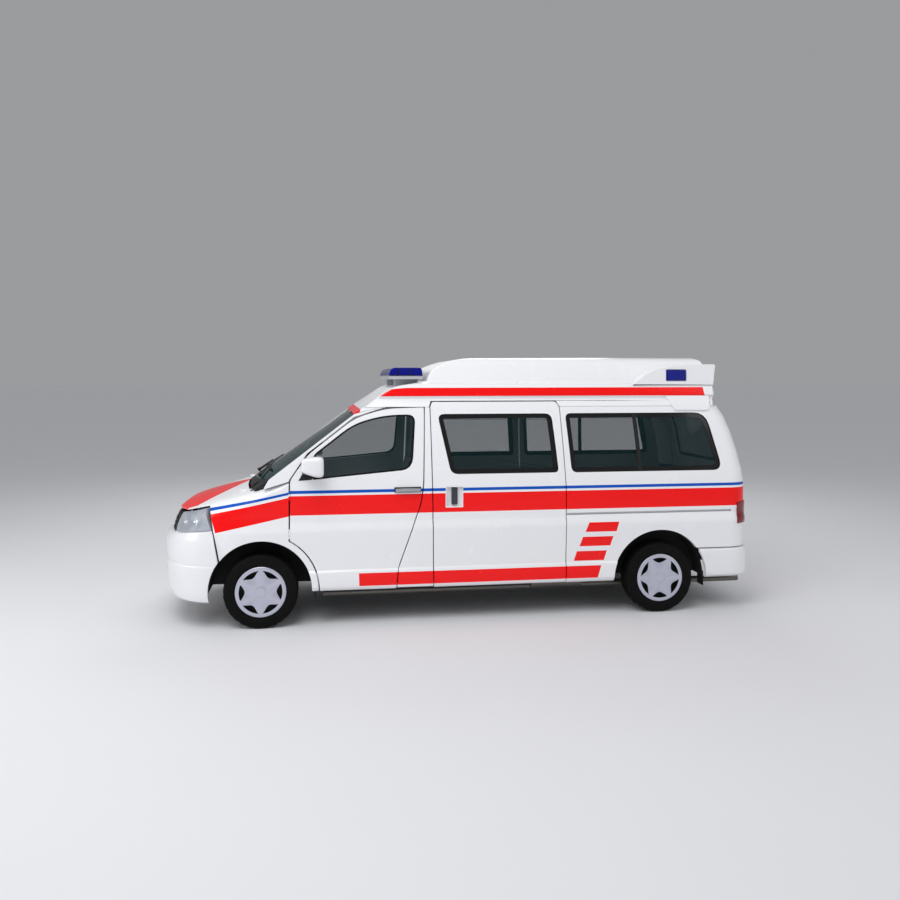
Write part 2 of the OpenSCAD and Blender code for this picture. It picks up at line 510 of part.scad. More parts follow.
module tailgate() color([0.93, 0.93, 0.94]) at_front() {
    difference() {
        slab([for (z = [gate_top, 1703, 1520, 1400, 1274, 1115, 850, 562]) [for (v = [1:-0.25:-1]) gate_at(z, v, 0)]],
            [for (z = [gate_top, 1703, 1520, 1400, 1274, 1115, 850, 562]) [for (v = [1:-0.25:-1]) gate_at(z, v, 50)]]);
        along(outline(gate_pane), tail_x - 600, tail_x + 200);
    }
    pair() difference() {
        union() {
            block([gate_hinge[0] - 6, 430 + seat, gate_top - 30], [gate_hinge[0] + 6, 462 - seat, gate_hinge[1]]);
            pin(gate_hinge[0], gate_hinge[1], 9, 430 + seat, 462 - seat);
        }
        pin(gate_hinge[0], gate_hinge[1], 5 + fit, 400, 500);
    }
}
module tailgate_glass() color([0.3, 0.42, 0.45, 0.6]) at_front() intersection() {
    slab([for (z = [1703, 1520, 1400, 1274, 1200]) [for (v = [1:-0.25:-1]) gate_at(z, v, 14)]],
        [for (z = [1703, 1520, 1400, 1274, 1200]) [for (v = [1:-0.25:-1]) gate_at(z, v, 14 + glass_t)]]);
    along(outline(gate_pane, -seat), tail_x - 600, tail_x + 200);
}

// Front doors
module front_door_panel() {
    difference() {
        intersection() {
            wall(0, wall_t, 150, 1400);
            across(outline(front_door, 0), cut_in, cut_out);
        }
        pin(0, tyre_r, door_arch_r, cut_in, cut_out);
        across(outline(front_pane), cut_in, cut_out);
    }
    for (z = [770, 1080]) difference() {
        union() {
            post(hinge_x, hinge_y, hinge_gap / 2 - 0.3, z - 16 + seat, z + 16 - seat);
            block([hinge_x, hinge_y - 24, z - 16 + seat], [door_x + 8, hinge_y - 2, z + 16 - seat]);
        }
        post(hinge_x, hinge_y, 3 + fit, z - 30, z + 30);
    }
}
module front_door_trim() {
    hull() for (x = [352, 480], z = [1262, 1376], y = [930, 1030]) translate([x + (y - 930) * 0.1, y, z]) sphere(r = 26, $fn = 12);
    hull() {
        block([318, half_at(1240) + seat, 1240], [392, half_at(1240) + seat + 10, 1268]);
        block([360, 912, 1252], [410, 924, 1280]);
    }
    hull() for (x = [1106, 1284]) translate([x, half_at(1110) + 24, 1110]) sphere(r = 16, $fn = 12);
    for (x = [1104, 1286]) post_y(x, 1110, 13, half_at(1110) + seat + 1, half_at(1110) + 24);
}
module post_y(x, z, r, y0, y1) translate([x, y1, z]) rotate([90, 0, 0]) cylinder(r = r, h = y1 - y0, $fn = 24);
module front_door_left() color([0.93, 0.93, 0.94]) at_front() left() front_door_panel();
module front_door_right() color([0.93, 0.93, 0.94]) at_front() front_door_panel();
module front_door_left_glass() color([0.3, 0.42, 0.45, 0.6]) at_front() left() pane(front_pane, -seat, 14);
module front_door_right_glass() color([0.3, 0.42, 0.45, 0.6]) at_front() pane(front_pane, -seat, 14);
module front_door_left_trim() color([0.9, 0.9, 0.91]) at_front() left() front_door_trim();
module front_door_right_trim() color([0.9, 0.9, 0.91]) at_front() front_door_trim();

// Running gear
module tyre() rotate([90, 0, 0]) rotate_extrude() polygon(concat(
    [for (p = tyre_half) [p[0], -p[1]]], back_to_front(tyre_half)));
tyre_half = [
    [rim_r - 11, tyre_w / 2 - 15], [rim_r, tyre_w / 2 - 7], [rim_r + 45, tyre_w / 2], [tyre_r - 20, tyre_w / 2 - 5],
    [tyre_r - 4, tyre_w / 2 - 17], [tyre_r, tyre_w / 2 - 31]];
// Wheel about the Y axis, outer face towards +Y
module wheel() difference() {
    rotate([-90, 0, 0]) union() {
        difference() {
            union() {
                rotate_extrude() polygon([
                    [rim_r - 26, -96], [rim_r, -96], [rim_r, -90.4], [rim_r - 11.4, -86], [rim_r - 11.4, 86], [rim_r, 90.4], [rim_r, 96],
                    [rim_r - 20, 98], [60, 92], [48, 98], [0, 100], [0, 92], [40, 90], [54, 84], [rim_r - 22, 88], [rim_r - 26, 80]]);
            }
            for (i = [0:5]) rotate([0, 0, 60 * i]) translate([0, 0, 60]) linear_extrude(60)
                polygon(outline([[118, -30, 14], [172, -50, 14], [172, 50, 14], [118, 30, 14]]));
        }
        rotate_extrude() polygon([[0, -40], [55, -40], [55, 20], [rim_r - 22, 30], [rim_r - 22, 42], [55, 34], [55, 50], [0, 50]]);
    }
    rotate([-90, 0, 0]) translate([0, 0, -50]) cylinder(r = spindle_r + fit, h = 94);
}
module knuckle() difference() {
    union() {
        post(0, kingpin_y, 25, 230, 376);
        pin(0, tyre_r, spindle_r, kingpin_y + 15, wheel_y + 43);
    }
    post(0, kingpin_y, kingpin_r + fit, 200, 400);
}
module front_suspension() color([0.17, 0.17, 0.18]) at_front() {
    block([-70, -440, 225], [70, 440, 300]);
    pair() block([-60, 335, 290], [60, 385, 355 - seat]);
    pair() block([-40, 396, 290], [40, 445, 400]);
    pair() for (z = [205, 378]) block([-26, 430, z], [26, 722, z + 20]);
    pair() post(0, kingpin_y, kingpin_r, 205, 398);
}
module rear_axle() color([0.17, 0.17, 0.18]) at_front() {
    pin(wheelbase, tyre_r, 45, -690, 690);
    pin(wheelbase, tyre_r, spindle_r, -wheel_y - 43, wheel_y + 43);
    translate([wheelbase, 0, tyre_r]) sphere(r = 112);
    pair() across(concat(
        [for (t = [-1:0.25:1]) [wheelbase + 560 * t, 340 + 42 * t * t]],
        [for (t = [1:-0.25:-1]) [wheelbase + 560 * t, 368 + 42 * t * t]]), 485, 555);
    pair() for (s = [-1, 1]) block([wheelbase + s * 545 - 15, 490, 395], [wheelbase + s * 545 + 15, 550, floor_z - 30 - seat]);
}
module placed(x, side) at_front() translate([x, side * wheel_y, tyre_r]) mirror([0, side < 0 ? 1 : 0, 0]) children();
module tyre_front_left() color([0.06, 0.06, 0.06]) placed(0, -1) tyre();
module tyre_front_right() color([0.06, 0.06, 0.06]) placed(0, 1) tyre();
module tyre_rear_left() color([0.06, 0.06, 0.06]) placed(wheelbase, -1) tyre();
module tyre_rear_right() color([0.06, 0.06, 0.06]) placed(wheelbase, 1) tyre();
module wheel_front_left() color([0.66, 0.67, 0.74]) placed(0, -1) wheel();
module wheel_front_right() color([0.66, 0.67, 0.74]) placed(0, 1) wheel();
module wheel_rear_left() color([0.66, 0.67, 0.74]) placed(wheelbase, -1) rotate([0, 30, 0]) wheel();
module wheel_rear_right() color([0.66, 0.67, 0.74]) placed(wheelbase, 1) rotate([0, 30, 0]) wheel();
module knuckle_left() color([0.3, 0.3, 0.31]) at_front() left() knuckle();
module knuckle_right() color([0.3, 0.3, 0.31]) at_front() knuckle();
module mud_flaps() color([0.07, 0.07, 0.07]) at_front() pair() {
    block([432, 690, 190], [440, 842, 292 - seat]);
    block([wheelbase + 428 + seat, 680, 200], [wheelbase + 436, 790, 330]);
}
module exhaust() color([0.45, 0.45, 0.46]) at_front() left() {
    translate([500, 610, 215]) rotate([0, 90, 0]) cylinder(r = 27, h = tail_x - 560);
    translate([2300, 600, 265]) rotate([0, 90, 0]) cylinder(r = 78, h = 460);
    for (x = [1500, wheelbase - 500]) block([x, 602, 215], [x + 16, 618, floor_z - 30 - seat]);
}
module fuel_tank() color([0.12, 0.12, 0.13]) at_front()
    along(outline([[440, 230, 40], [660, 230, 40], [660, floor_z - 30 - seat, 20], [440, floor_z - 30 - seat, 20]]), 1500, 2250);
module engine() color([0.35, 0.36, 0.37]) at_front() {
    pair() block([-360, 280, 370], [-280, 330 - seat, 420]);
    across(outline([[-520, 320, 30], [-120, 320, 30], [-90, 700, 40], [-160, 900, 60], [-480, 880, 60]]), -290, 290);
}

// Inside
module dashboard() color([0.25, 0.26, 0.28]) at_front() {
    across(outline([[seat, 850, 20], [380, 850, 40], [430, 1010, 60], [330, 1110, 60], [40, 1105, 20], [seat, 1076, 10]]), -745, 745);
    column_frame() cylinder(r = 26, h = 150);
    column_frame() cylinder(r = 12, h = 262);
}
module column_frame() translate([380, -380, 905]) rotate([0, 62, 0]) children();
module steering_wheel() color([0.1, 0.1, 0.11]) at_front() column_frame() translate([0, 0, 215]) difference() {
    union() {
        rotate_extrude() translate([178, 0]) circle(r = 14, $fn = 24);
        cylinder(r = 52, h = 30, center = true);
        for (a = [90, 210, 330]) rotate([0, 0, a]) block([0, -14, -8], [176, 14, 8]);
    }
    translate([0, 0, -30]) cylinder(r = 12 + fit, h = 60);
}
module seat_shape(w) across(outline([
    [815, floor_z + seat, 20], [1240, floor_z + seat, 20], [1265, 640, 60], [1385, 1250, 50], [1290, 1262, 40], [1170, 700, 70], [800, 690, 50], [790, 590, 40]]), -w, w);
module seats() color([0.3, 0.31, 0.34]) at_front() {
    for (y = [-380, 380]) translate([0, y, 0]) {
        seat_shape(240);
        across(outline([[1312, 1275, 20], [1390, 1268, 20], [1410, 1440, 30], [1335, 1446, 30]]), -130, 130);
        for (p = [-60, 60]) block([1345, p - 6, 1240], [1357, p + 6, 1290]);
    }
    along(outline([[330, floor_z + seat, 20], [690, floor_z + seat, 20], [690, 860, 30], [340, 860, 40]]), 1700, 2900);
}
module stretcher() color([0.75, 0.5, 0.1]) at_front() {
    block([1960, -570, 700], [3860, -60, 730]);
    across(outline([[1960, 729, 20], [3860, 729, 20], [3860, 800, 30], [2620, 800, 60], [2060, 1010, 40], [1990, 960, 40]]), -550, -80);
    for (x = [2250, 3550], y = [-540, -110]) {
        block([x - 14, y, 490], [x + 14, y + 20, 710]);
        pin(x, 490 + seat, 40, y - 4, y + 24);
    }
}

underbody();
body_sides();
raised_roof();
roof_pods();
light_bar();
blue_lenses();
windshield();
side_windows();
sliding_doors();
sliding_door_handles();
front_fenders();
front_bumper();
rear_bumper();
grille();
headlamps();
tail_lamps();
cowl();
wipers();
mud_flaps();
exhaust();
fuel_tank();
engine();
front_suspension();
rear_axle();
dashboard();
steering_wheel();
seats();
stretcher();
hood();
tailgate();
tailgate_glass();
front_door_left();
front_door_left_glass();
front_door_left_trim();
front_door_right();
front_door_right_glass();
front_door_right_trim();
knuckle_left();
knuckle_right();
tyre_front_left();
tyre_front_right();
tyre_rear_left();
tyre_rear_right();
wheel_front_left();
wheel_front_right();
wheel_rear_left();
wheel_rear_right();
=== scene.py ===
"""High-roof van ambulance: finishes, glass, lamps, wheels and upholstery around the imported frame."""

from __future__ import annotations

import json
import logging
import math
from contextlib import contextmanager
from dataclasses import dataclass
from enum import Enum
from typing import Callable, Iterator, Sequence

import bmesh
import bpy
from mathutils import Matrix, Vector, kdtree
from mathutils.bvhtree import BVHTree

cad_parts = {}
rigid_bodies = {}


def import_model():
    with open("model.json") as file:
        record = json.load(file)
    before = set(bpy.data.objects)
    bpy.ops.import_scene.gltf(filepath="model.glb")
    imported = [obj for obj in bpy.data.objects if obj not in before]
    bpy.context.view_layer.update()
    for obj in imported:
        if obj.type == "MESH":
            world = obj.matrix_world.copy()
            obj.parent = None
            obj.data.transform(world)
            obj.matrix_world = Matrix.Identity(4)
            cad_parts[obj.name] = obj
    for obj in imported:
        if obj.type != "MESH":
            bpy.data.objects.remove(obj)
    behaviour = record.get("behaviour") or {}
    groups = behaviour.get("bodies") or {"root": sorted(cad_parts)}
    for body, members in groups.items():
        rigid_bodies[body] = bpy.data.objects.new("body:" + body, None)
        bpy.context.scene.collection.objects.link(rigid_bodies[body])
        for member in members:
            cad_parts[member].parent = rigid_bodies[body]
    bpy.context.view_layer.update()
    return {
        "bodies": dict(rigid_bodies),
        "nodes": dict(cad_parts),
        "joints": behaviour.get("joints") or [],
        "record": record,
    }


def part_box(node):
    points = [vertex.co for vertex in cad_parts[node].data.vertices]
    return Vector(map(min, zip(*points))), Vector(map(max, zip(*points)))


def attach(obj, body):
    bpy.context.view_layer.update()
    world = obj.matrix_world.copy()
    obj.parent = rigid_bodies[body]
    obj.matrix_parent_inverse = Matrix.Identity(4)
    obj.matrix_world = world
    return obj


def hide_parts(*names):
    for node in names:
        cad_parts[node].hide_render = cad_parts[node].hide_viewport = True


LOG = logging.getLogger("ambulance")
MM = 0.001
SIDES = (("left", -1), ("right", 1))
Corner = tuple[float, float]
Obj = bpy.types.Object
Socket = bpy.types.NodeSocket
Tree = bpy.types.NodeTree


@dataclass
class Survey:
    """Stations in mm, measured rearwards from the front axle, turned into the frame's metres."""

    front_axle: float = 0.0
    wheelbase: float = 3400.0
    nodes: dict[str, Obj] | None = None

    def read(self, frame: dict) -> None:
        """Takes the axle's place from the wheels' joints.
        """
        places = {joint["name"]: joint["pos_m"] for joint in frame["joints"]}
        self.front_axle = places["wheel_front_left_spin"][0]
        self.wheelbase = (places["wheel_rear_left_spin"][0] - self.front_axle) / MM
        self.nodes = frame["nodes"]

    def x(self, station: float) -> float:
        """A station's place along the frame, in metres."""
        return self.front_axle + station * MM

    def at(self, station: float, y: float, z: float) -> Vector:
        """A point in the frame, in metres, from mm."""
        return Vector((self.x(station), y * MM, z * MM))


SURVEY = Survey()


def deselect() -> None:
    """Leaves edit mode and selects nothing."""
    if bpy.context.object and bpy.context.object.mode != "OBJECT":
        bpy.ops.object.mode_set(mode="OBJECT")
    bpy.ops.object.select_all(action="DESELECT")


def pick(obj: Obj) -> None:
    """Makes one object the only selected and active one.

    Args:
        obj: the object.
    """
    deselect()
    obj.select_set(True)
    bpy.context.view_layer.objects.active = obj


@contextmanager
def editing(obj: Obj, domain: str = "FACE", everything: bool = False) -> Iterator[None]:
    """Opens an object in edit mode with nothing or everything selected.

    Args:
        obj: the mesh to edit.
        domain: VERT, EDGE or FACE.
        everything: whether all of the mesh is selected.

    Yields:
        Nothing, while the object is in edit mode.
    """
    pick(obj)
    bpy.ops.object.mode_set(mode="EDIT")
    bpy.ops.mesh.select_mode(type=domain)
    bpy.ops.mesh.select_all(action="SELECT" if everything else "DESELECT")
    yield
    bpy.ops.object.mode_set(mode="OBJECT")


def choose(obj: Obj, test: Callable[[bmesh.types.BMFace], bool]) -> int:
    """Selects the faces of a mesh in edit mode that pass a test.

    Args:
        obj: the mesh in edit mode.
        test: tells whether a face is wanted.

    Returns:
        How many faces were selected.
    """
    bpy.ops.mesh.select_all(action="DESELECT")
    mesh = bmesh.from_edit_mesh(obj.data)
    wanted = [face for face in mesh.faces if test(face)]
    for face in wanted:
        face.select_set(True)
    bmesh.update_edit_mesh(obj.data)
    return len(wanted)


def work(obj: Obj, kind: str, **settings: object) -> None:
    """Adds a modifier with its settings and applies it.

    Args:
        obj: the mesh.
        kind: the modifier's type.
        settings: its properties.
    """
    pick(obj)
    modifier = obj.modifiers.new(kind.lower(), kind)
    for key, value in settings.items():
        setattr(modifier, key, value)
    bpy.ops.object.modifier_apply(modifier=modifier.name)


def smooth(obj: Obj, angle: float = 180.0) -> None:
    """Shades a mesh smooth, with normals that follow its large faces.

    Args:
        obj: the mesh.
        angle: edges sharper than this, in degrees, stay sharp.
    """
    pick(obj)
    bpy.ops.object.shade_smooth_by_angle(angle=math.radians(angle))
    work(obj, "WEIGHTED_NORMAL", mode="FACE_AREA", weight=50, keep_sharp=True)


def outward(obj: Obj) -> None:
    """Turns all faces of a mesh outwards."""
    with editing(obj, everything=True):
        bpy.ops.mesh.normals_make_consistent(inside=False)


def round_edges(obj: Obj, width: float, segments: int = 2, angle: float = 36.0) -> None:
    """Rounds the sharp edges of a mesh.

    Args:
        obj: the mesh.
        width: the round's width in mm.
        segments: faces across the round.
        angle: edges sharper than this, in degrees, are rounded.
    """
    points = [vertex.co.copy() for vertex in obj.data.vertices]
    before = BVHTree.FromPolygons(points, [list(face.vertices) for face in obj.data.polygons])
    work(obj, "BEVEL", width=width * MM, segments=segments, limit_method="ANGLE",
         angle_limit=math.radians(angle), use_clamp_overlap=False)
    # At a narrow corner an unclamped round can shoot off the surface, and comes back to it here
    for vertex in obj.data.vertices:
        near, _, _, off = before.find_nearest(vertex.co)
        if off > 0.5 * width * MM:
            vertex.co = near
    smooth(obj, 60.0)


def copy_of(node: str, name: str) -> Obj:
    """Copies a node's solid as a new piece with its triangles merged into faces.

    Args:
        node: the node's name.
        name: the new piece's name.

    Returns:
        The new piece.
    """
    piece = bpy.data.objects.new(name, SURVEY.nodes[node].data.copy())
    bpy.context.scene.collection.objects.link(piece)
    piece.data.materials.clear()
    pick(piece)
    bpy.ops.mesh.customdata_custom_splitnormals_clear()
    with editing(piece, "VERT", everything=True):
        bpy.ops.mesh.remove_doubles(threshold=0.02 * MM)
        bpy.ops.mesh.dissolve_limited(angle_limit=math.radians(0.6))
    return piece


def named(name: str) -> Obj:
    """Names the object that an operator has just added.

    Args:
        name: the piece's name.

    Returns:
        The object.
    """
    bpy.context.object.name = name
    bpy.context.object.data.name = name
    return bpy.context.object


def settle(obj: Obj) -> None:
    """Puts an object's place and size into its mesh."""
    pick(obj)
    bpy.ops.object.transform_apply(location=True, rotation=True, scale=True)


def slab(name: str, low: Vector, high: Vector, cuts: int = 0) -> Obj:
    """Adds a block between two corners, subdivided for shaping.

    Args:
        name: the piece's name.
        low: lowest corner in metres.
        high: highest corner in metres.
        cuts: cuts along every edge.

    Returns:
        The block.
    """
    deselect()
    bpy.ops.mesh.primitive_cube_add(size=1.0, location=(low + high) / 2)
    block = named(name)
    block.scale = high - low
    settle(block)
    if cuts:
        with editing(block, everything=True):
            bpy.ops.mesh.subdivide(number_cuts=cuts)
    return block


def loop_of(name: str, points: Sequence[Vector], filled: bool) -> Obj:
    """Adds a circle and moves its vertices onto the points of an outline.

    Args:
        name: the piece's name.
        points: the outline's points in metres.
        filled: whether the outline is filled with a face.

    Returns:
        The outline as a mesh.
    """
    deselect()
    bpy.ops.mesh.primitive_circle_add(vertices=len(points), fill_type="NGON" if filled else "NOTHING")
    ring = named(name)
    for vertex, point in zip(ring.data.vertices, points):
        vertex.co = point
    return ring


def joined(name: str, pieces: Sequence[Obj]) -> Obj:
    """Joins meshes into one piece.

    Args:
        name: the joined piece's name.
        pieces: the meshes.

    Returns:
        The joined piece.
    """
    deselect()
    for piece in pieces:
        piece.select_set(True)
    bpy.context.view_layer.objects.active = pieces[0]
    if len(pieces) > 1:
        bpy.ops.object.join()
    return named(name)


def mirrored(piece: Obj, name: str) -> Obj:
    """Copies a piece to the vehicle's other side.

    Args:
        piece: the piece to mirror.
        name: the copy's name.

    Returns:
        The mirrored copy.
    """
    twin = bpy.data.objects.new(name, piece.data.copy())
    bpy.context.scene.collection.objects.link(twin)
    twin.data.transform(Matrix.Scale(-1, 4, (0, 1, 0)))
    with editing(twin, everything=True):
        bpy.ops.mesh.flip_normals()
    return twin


def linear(code: str) -> tuple[float, float, float, float]:
    """Turns an sRGB hex colour into linear values.

    Args:
        code: six hex digits.

    Returns:
        Linear red, green, blue and alpha.
    """
    parts = [int(code[i:i + 2], 16) / 255 for i in (0, 2, 4)]
    red, green, blue = (p / 12.92 if p <= 0.04045 else ((p + 0.055) / 1.055) ** 2.4 for p in parts)
    return red, green, blue, 1.0


def add(tree: Tree, kind: str, inputs: dict | None = None, **settings: object) -> bpy.types.Node:
    """Adds one shader node with its settings, values and links.

    Args:
        tree: the material's node tree.
        kind: the node's type without its ShaderNode prefix.
        inputs: values, or sockets to link, by input name or number.
        settings: the node's own properties.

    Returns:
        The node.
    """
    node = tree.nodes.new("ShaderNode" + kind)
    for key, value in settings.items():
        setattr(node, key, value)
    for key, value in (inputs or {}).items():
        if isinstance(value, Socket):
            tree.links.new(value, node.inputs[key])
        else:
            node.inputs[key].default_value = value
    return node


class View(Enum):
    """The view in which a stripe's corners are given."""

    SIDE = "station and height"
    TOP = "station and distance from the middle"


@dataclass(frozen=True)
class Stripe:
    """One stripe of the livery: a convex outline in mm, anticlockwise, and its colour."""

    colour: str
    corners: tuple[Corner, ...]
    view: View = View.SIDE
    beyond: float = 0.0

    def mask(self, tree: Tree, point: Socket) -> Socket:
        """Builds the nodes that are 1 inside the stripe.

        Args:
            tree: the material's node tree.
            point: station, distance from the middle and height, in metres.

        Returns:
            The mask's socket.
        """
        ends = [(SURVEY.x(a), b * MM) for a, b in self.corners]
        planes: list[tuple[tuple[float, float, float], float]] = []
        for (x0, w0), (x1, w1) in zip(ends, ends[1:] + ends[:1]):
            normal = (w0 - w1, x1 - x0)
            limit = normal[0] * x0 + normal[1] * w0
            side = (normal[0], 0.0, normal[1]) if self.view is View.SIDE else (normal[0], normal[1], 0.0)
            planes.append((side, limit))
        if self.beyond:
            planes.append(((0.0, 1.0, 0.0), self.beyond * MM))
        mask = None
        for normal, limit in planes:
            along = add(tree, "VectorMath", {0: point, 1: normal}, operation="DOT_PRODUCT")
            inside = add(tree, "Math", {0: along.outputs["Value"], 1: limit}, operation="GREATER_THAN")
            if mask is None:
                mask = inside.outputs[0]
            else:
                mask = add(tree, "Math", {0: mask, 1: inside.outputs[0]}, operation="MULTIPLY").outputs[0]
        return mask


@dataclass(frozen=True)
class Finish:
    """A real material: its colour, gloss, and the size in mm and depth of its surface pattern."""

    name: str
    colour: str
    roughness: float
    metallic: float = 0.0
    ior: float = 1.5
    coat: float = 0.0
    alpha: float = 1.0
    sheen: float = 0.0
    # Share by which the colour varies, and the size of its clouds
    mottle: float = 0.04
    mottle_mm: float = 120.0
    # A moulded, cast or leather grain is too fine to show in the render, so it is drawn as coarse as
    # it needs to show: 4 mm or more from crest to crest
    grain_mm: float = 0.0
    grain_depth_mm: float = 0.0
    ribs_mm: float = 0.0
    ribs_axis: str = "X"
    stripes: tuple[Stripe, ...] = ()

    def material(self) -> bpy.types.Material:
        """The finish as a node material, made once."""
        found = bpy.data.materials.get(self.name)
        return found or self.make()

    def make(self) -> bpy.types.Material:
        """Builds the material.

        Returns:
            The new material.
        """
        material = bpy.data.materials.new(self.name)
        material.use_nodes = True
        tree = material.node_tree
        tree.nodes.clear()
        place = add(tree, "TexCoord").outputs["Object"]
        cloud = add(tree, "TexNoise", {"Vector": place, "Scale": 1 / (self.mottle_mm * MM), "Detail": 3.0})
        shade = add(tree, "MapRange", {
            "Value": cloud.outputs["Fac"], "To Min": 1 - self.mottle, "To Max": 1 + self.mottle})
        colour = self.painted(tree, place)
        tone = add(tree, "VectorMath", {0: colour, 1: shade.outputs["Result"]}, operation="MULTIPLY")
        low, high = self.roughness * 0.8, min(1.0, self.roughness * 1.2)
        gloss = add(tree, "MapRange", {"Value": cloud.outputs["Fac"], "To Min": low, "To Max": high})
        shader = add(tree, "BsdfPrincipled", {
            "Base Color": tone.outputs[0], "Roughness": gloss.outputs["Result"], "Metallic": self.metallic,
            "Coat Weight": self.coat, "Coat Roughness": 0.05, "Sheen Weight": self.sheen})
        if not self.metallic:
            shader.inputs["IOR"].default_value = self.ior
        if self.alpha < 1.0:
            # Tinted glass lets less through as it is seen more edge on
            edge = add(tree, "LayerWeight", {"Blend": 0.35})
            cover = add(tree, "MapRange", {
                "Value": edge.outputs["Fresnel"], "To Min": self.alpha, "To Max": 0.9})
            tree.links.new(cover.outputs["Result"], shader.inputs["Alpha"])
        height = self.relief(tree, place)
        if height is not None:
            bump = add(tree, "Bump", {
                "Height": height, "Distance": self.grain_depth_mm * MM, "Strength": 0.6})
            tree.links.new(bump.outputs["Normal"], shader.inputs["Normal"])
        out = add(tree, "OutputMaterial", {"Surface": shader.outputs["BSDF"]})
        out.is_active_output = True
        return material

    def painted(self, tree: Tree, place: Socket) -> Socket | tuple[float, ...]:
        """The base colour with the stripes laid over it.

        Args:
            tree: the material's node tree.
            place: object coordinates.

        Returns:
            The colour's socket, or its plain values where there are no stripes.
        """
        colour = linear(self.colour)
        if not self.stripes:
            return colour[:3]
        parts = add(tree, "SeparateXYZ", {0: place})
        away = add(tree, "Math", {0: parts.outputs["Y"]}, operation="ABSOLUTE")
        point = add(tree, "CombineXYZ", {
            "X": parts.outputs["X"], "Y": away.outputs[0], "Z": parts.outputs["Z"]})
        for stripe in self.stripes:
            mask = stripe.mask(tree, point.outputs[0])
            layer = add(tree, "Mix", {0: mask, 6: colour, 7: linear(stripe.colour)}, data_type="RGBA")
            colour = layer.outputs[2]
        return colour

    def relief(self, tree: Tree, place: Socket) -> Socket | None:
        """The height of the surface's grain or ribs.

        Args:
            tree: the material's node tree.
            place: object coordinates.

        Returns:
            The height's socket, or None for a plain surface.
        """
        if self.ribs_mm:
            # One rib is one period of the wave texture, which is a tenth of pi divided by its scale
            scale = math.tau / 20 / (self.ribs_mm * MM)
            wave = add(tree, "TexWave", {"Vector": place, "Scale": scale}, bands_direction=self.ribs_axis)
            return wave.outputs["Fac"]
        if self.grain_mm:
            scale = 1 / (self.grain_mm * MM)
            return add(tree, "TexNoise", {"Vector": place, "Scale": scale, "Detail": 2.0}).outputs["Fac"]
        return None


RED = "FC0002"
BLUE = "0052BE"
WHITE = "F1F2F5"

# Corners in mm: station and height, or for the hood station and distance from the middle
SIDE_RED = Stripe(RED, ((200, 918), (4600, 918), (4600, 1076), (200, 1076)))
SIDE_BLUE = Stripe(BLUE, ((200, 1094), (4600, 1094), (4600, 1119), (200, 1119)))
SILL_RED = Stripe(RED, ((795, 325), (2833, 325), (2863, 431), (792, 431)))
HANDLE_FIELD = Stripe(WHITE, ((1512, 956), (1660, 956), (1660, 1150), (1512, 1150)))
SLASHES = tuple(Stripe(RED, corners) for corners in (
    ((2721, 720), (2999, 720), (3020, 802), (2753, 802)),
    ((2670, 597), (2945, 597), (2972, 678), (2700, 678)),
    ((2622, 472), (2890, 472), (2915, 555), (2648, 555))))
FENDER_RED = Stripe(RED, ((-357, 788), (230, 913), (230, 1064), (-406, 932)))
FENDER_BLUE = Stripe(BLUE, ((-410, 955), (230, 1087), (230, 1108), (-418, 976)))
HOOD_RED = Stripe(RED, ((-120, -20), (-164, 75), (-532, 627), (-800, 560), (-800, -20)), View.TOP)
HOOD_CUT = Stripe(WHITE, ((-800, 627), (-532, 627), (-596, 537), (-651, 443), (-800, 443)), View.TOP)
ROOF_RED = Stripe(
    RED, ((969, 1882), (3868, 1884), (3854, 1957), (1200, 1953), (1075, 1944), (1030, 1918)), beyond=728)
BROW_RED = Stripe(RED, ((740, 1722), (800, 1745), (812, 1778), (752, 1772)))


def paint(name: str, *stripes: Stripe) -> Finish:
    """White two-pack enamel, sprayed and polished, with vinyl stripes laid on it."""
    return Finish(name, WHITE, 0.26, ior=1.38, coat=0.15, mottle=0.012, mottle_mm=260.0, stripes=stripes)


# Sprayed enamel: a clear wet highlight over an even white
PLAIN_WHITE = paint("enamel_white")
# Moulded and painted polypropylene of the bumpers: a little softer than the panels
BUMPER_WHITE = Finish("painted_polypropylene_white", "EDEEF2", 0.3, coat=0.5, mottle=0.015)
# Cabin lining of pale vinyl sheet, with a fine leather grain
LINING = Finish("lining_vinyl_grey", "A9ACB0", 0.6, mottle=0.05, grain_mm=5.0, grain_depth_mm=0.6)
# Extruded rubber round the panes: dull and nearly black
SEAL = Finish("seal_rubber_black", "0C0D0F", 0.55, mottle=0.1)
# Ceramic print baked on the pane's edge: black with the glass's gloss
FRIT = Finish("frit_black", "07080A", 0.12, coat=0.5, mottle=0.05)
# Body-tinted float glass, green-blue, dark at a slant
GLASS = Finish("float_glass_tinted", "1E4448", 0.03, ior=1.52, alpha=0.15, mottle=0.03)
# Grained polypropylene of grille, cowl and wiper arms
TRIM = Finish("moulded_polypropylene_black", "15161A", 0.5, mottle=0.08, grain_mm=4.0, grain_depth_mm=0.4)
# Chromium plate on ABS: mirror-like, slightly hazed
CHROME = Finish("chromium_plate", "D2D4D8", 0.12, metallic=1.0, mottle=0.03)
# The same plate over black moulding, as on the pull handles
SMOKED_CHROME = Finish("chromium_plate_dark", "5C5E63", 0.2, metallic=1.0, mottle=0.05)
# Vapour-coated reflector: bright and smooth
REFLECTOR = Finish("aluminised_reflector", "E4E6EA", 0.16, metallic=1.0, mottle=0.04)
# Clear hard-coated polycarbonate lens, drawn pale and partly opaque as painted light, so that the lamp reads
# bright and silver
PAINTED_LIGHT_LENS = Finish("polycarbonate_clear_painted_light", "DDE4EE", 0.05, ior=1.58, alpha=0.38, coat=0.4,
                    mottle=0.14, mottle_mm=45.0)
# Bezel inside the lamp: pale silver lacquer on moulded plastic
LAMP_BEZEL = Finish("bezel_silver", "C6CBD5", 0.4, mottle=0.06, mottle_mm=45.0)
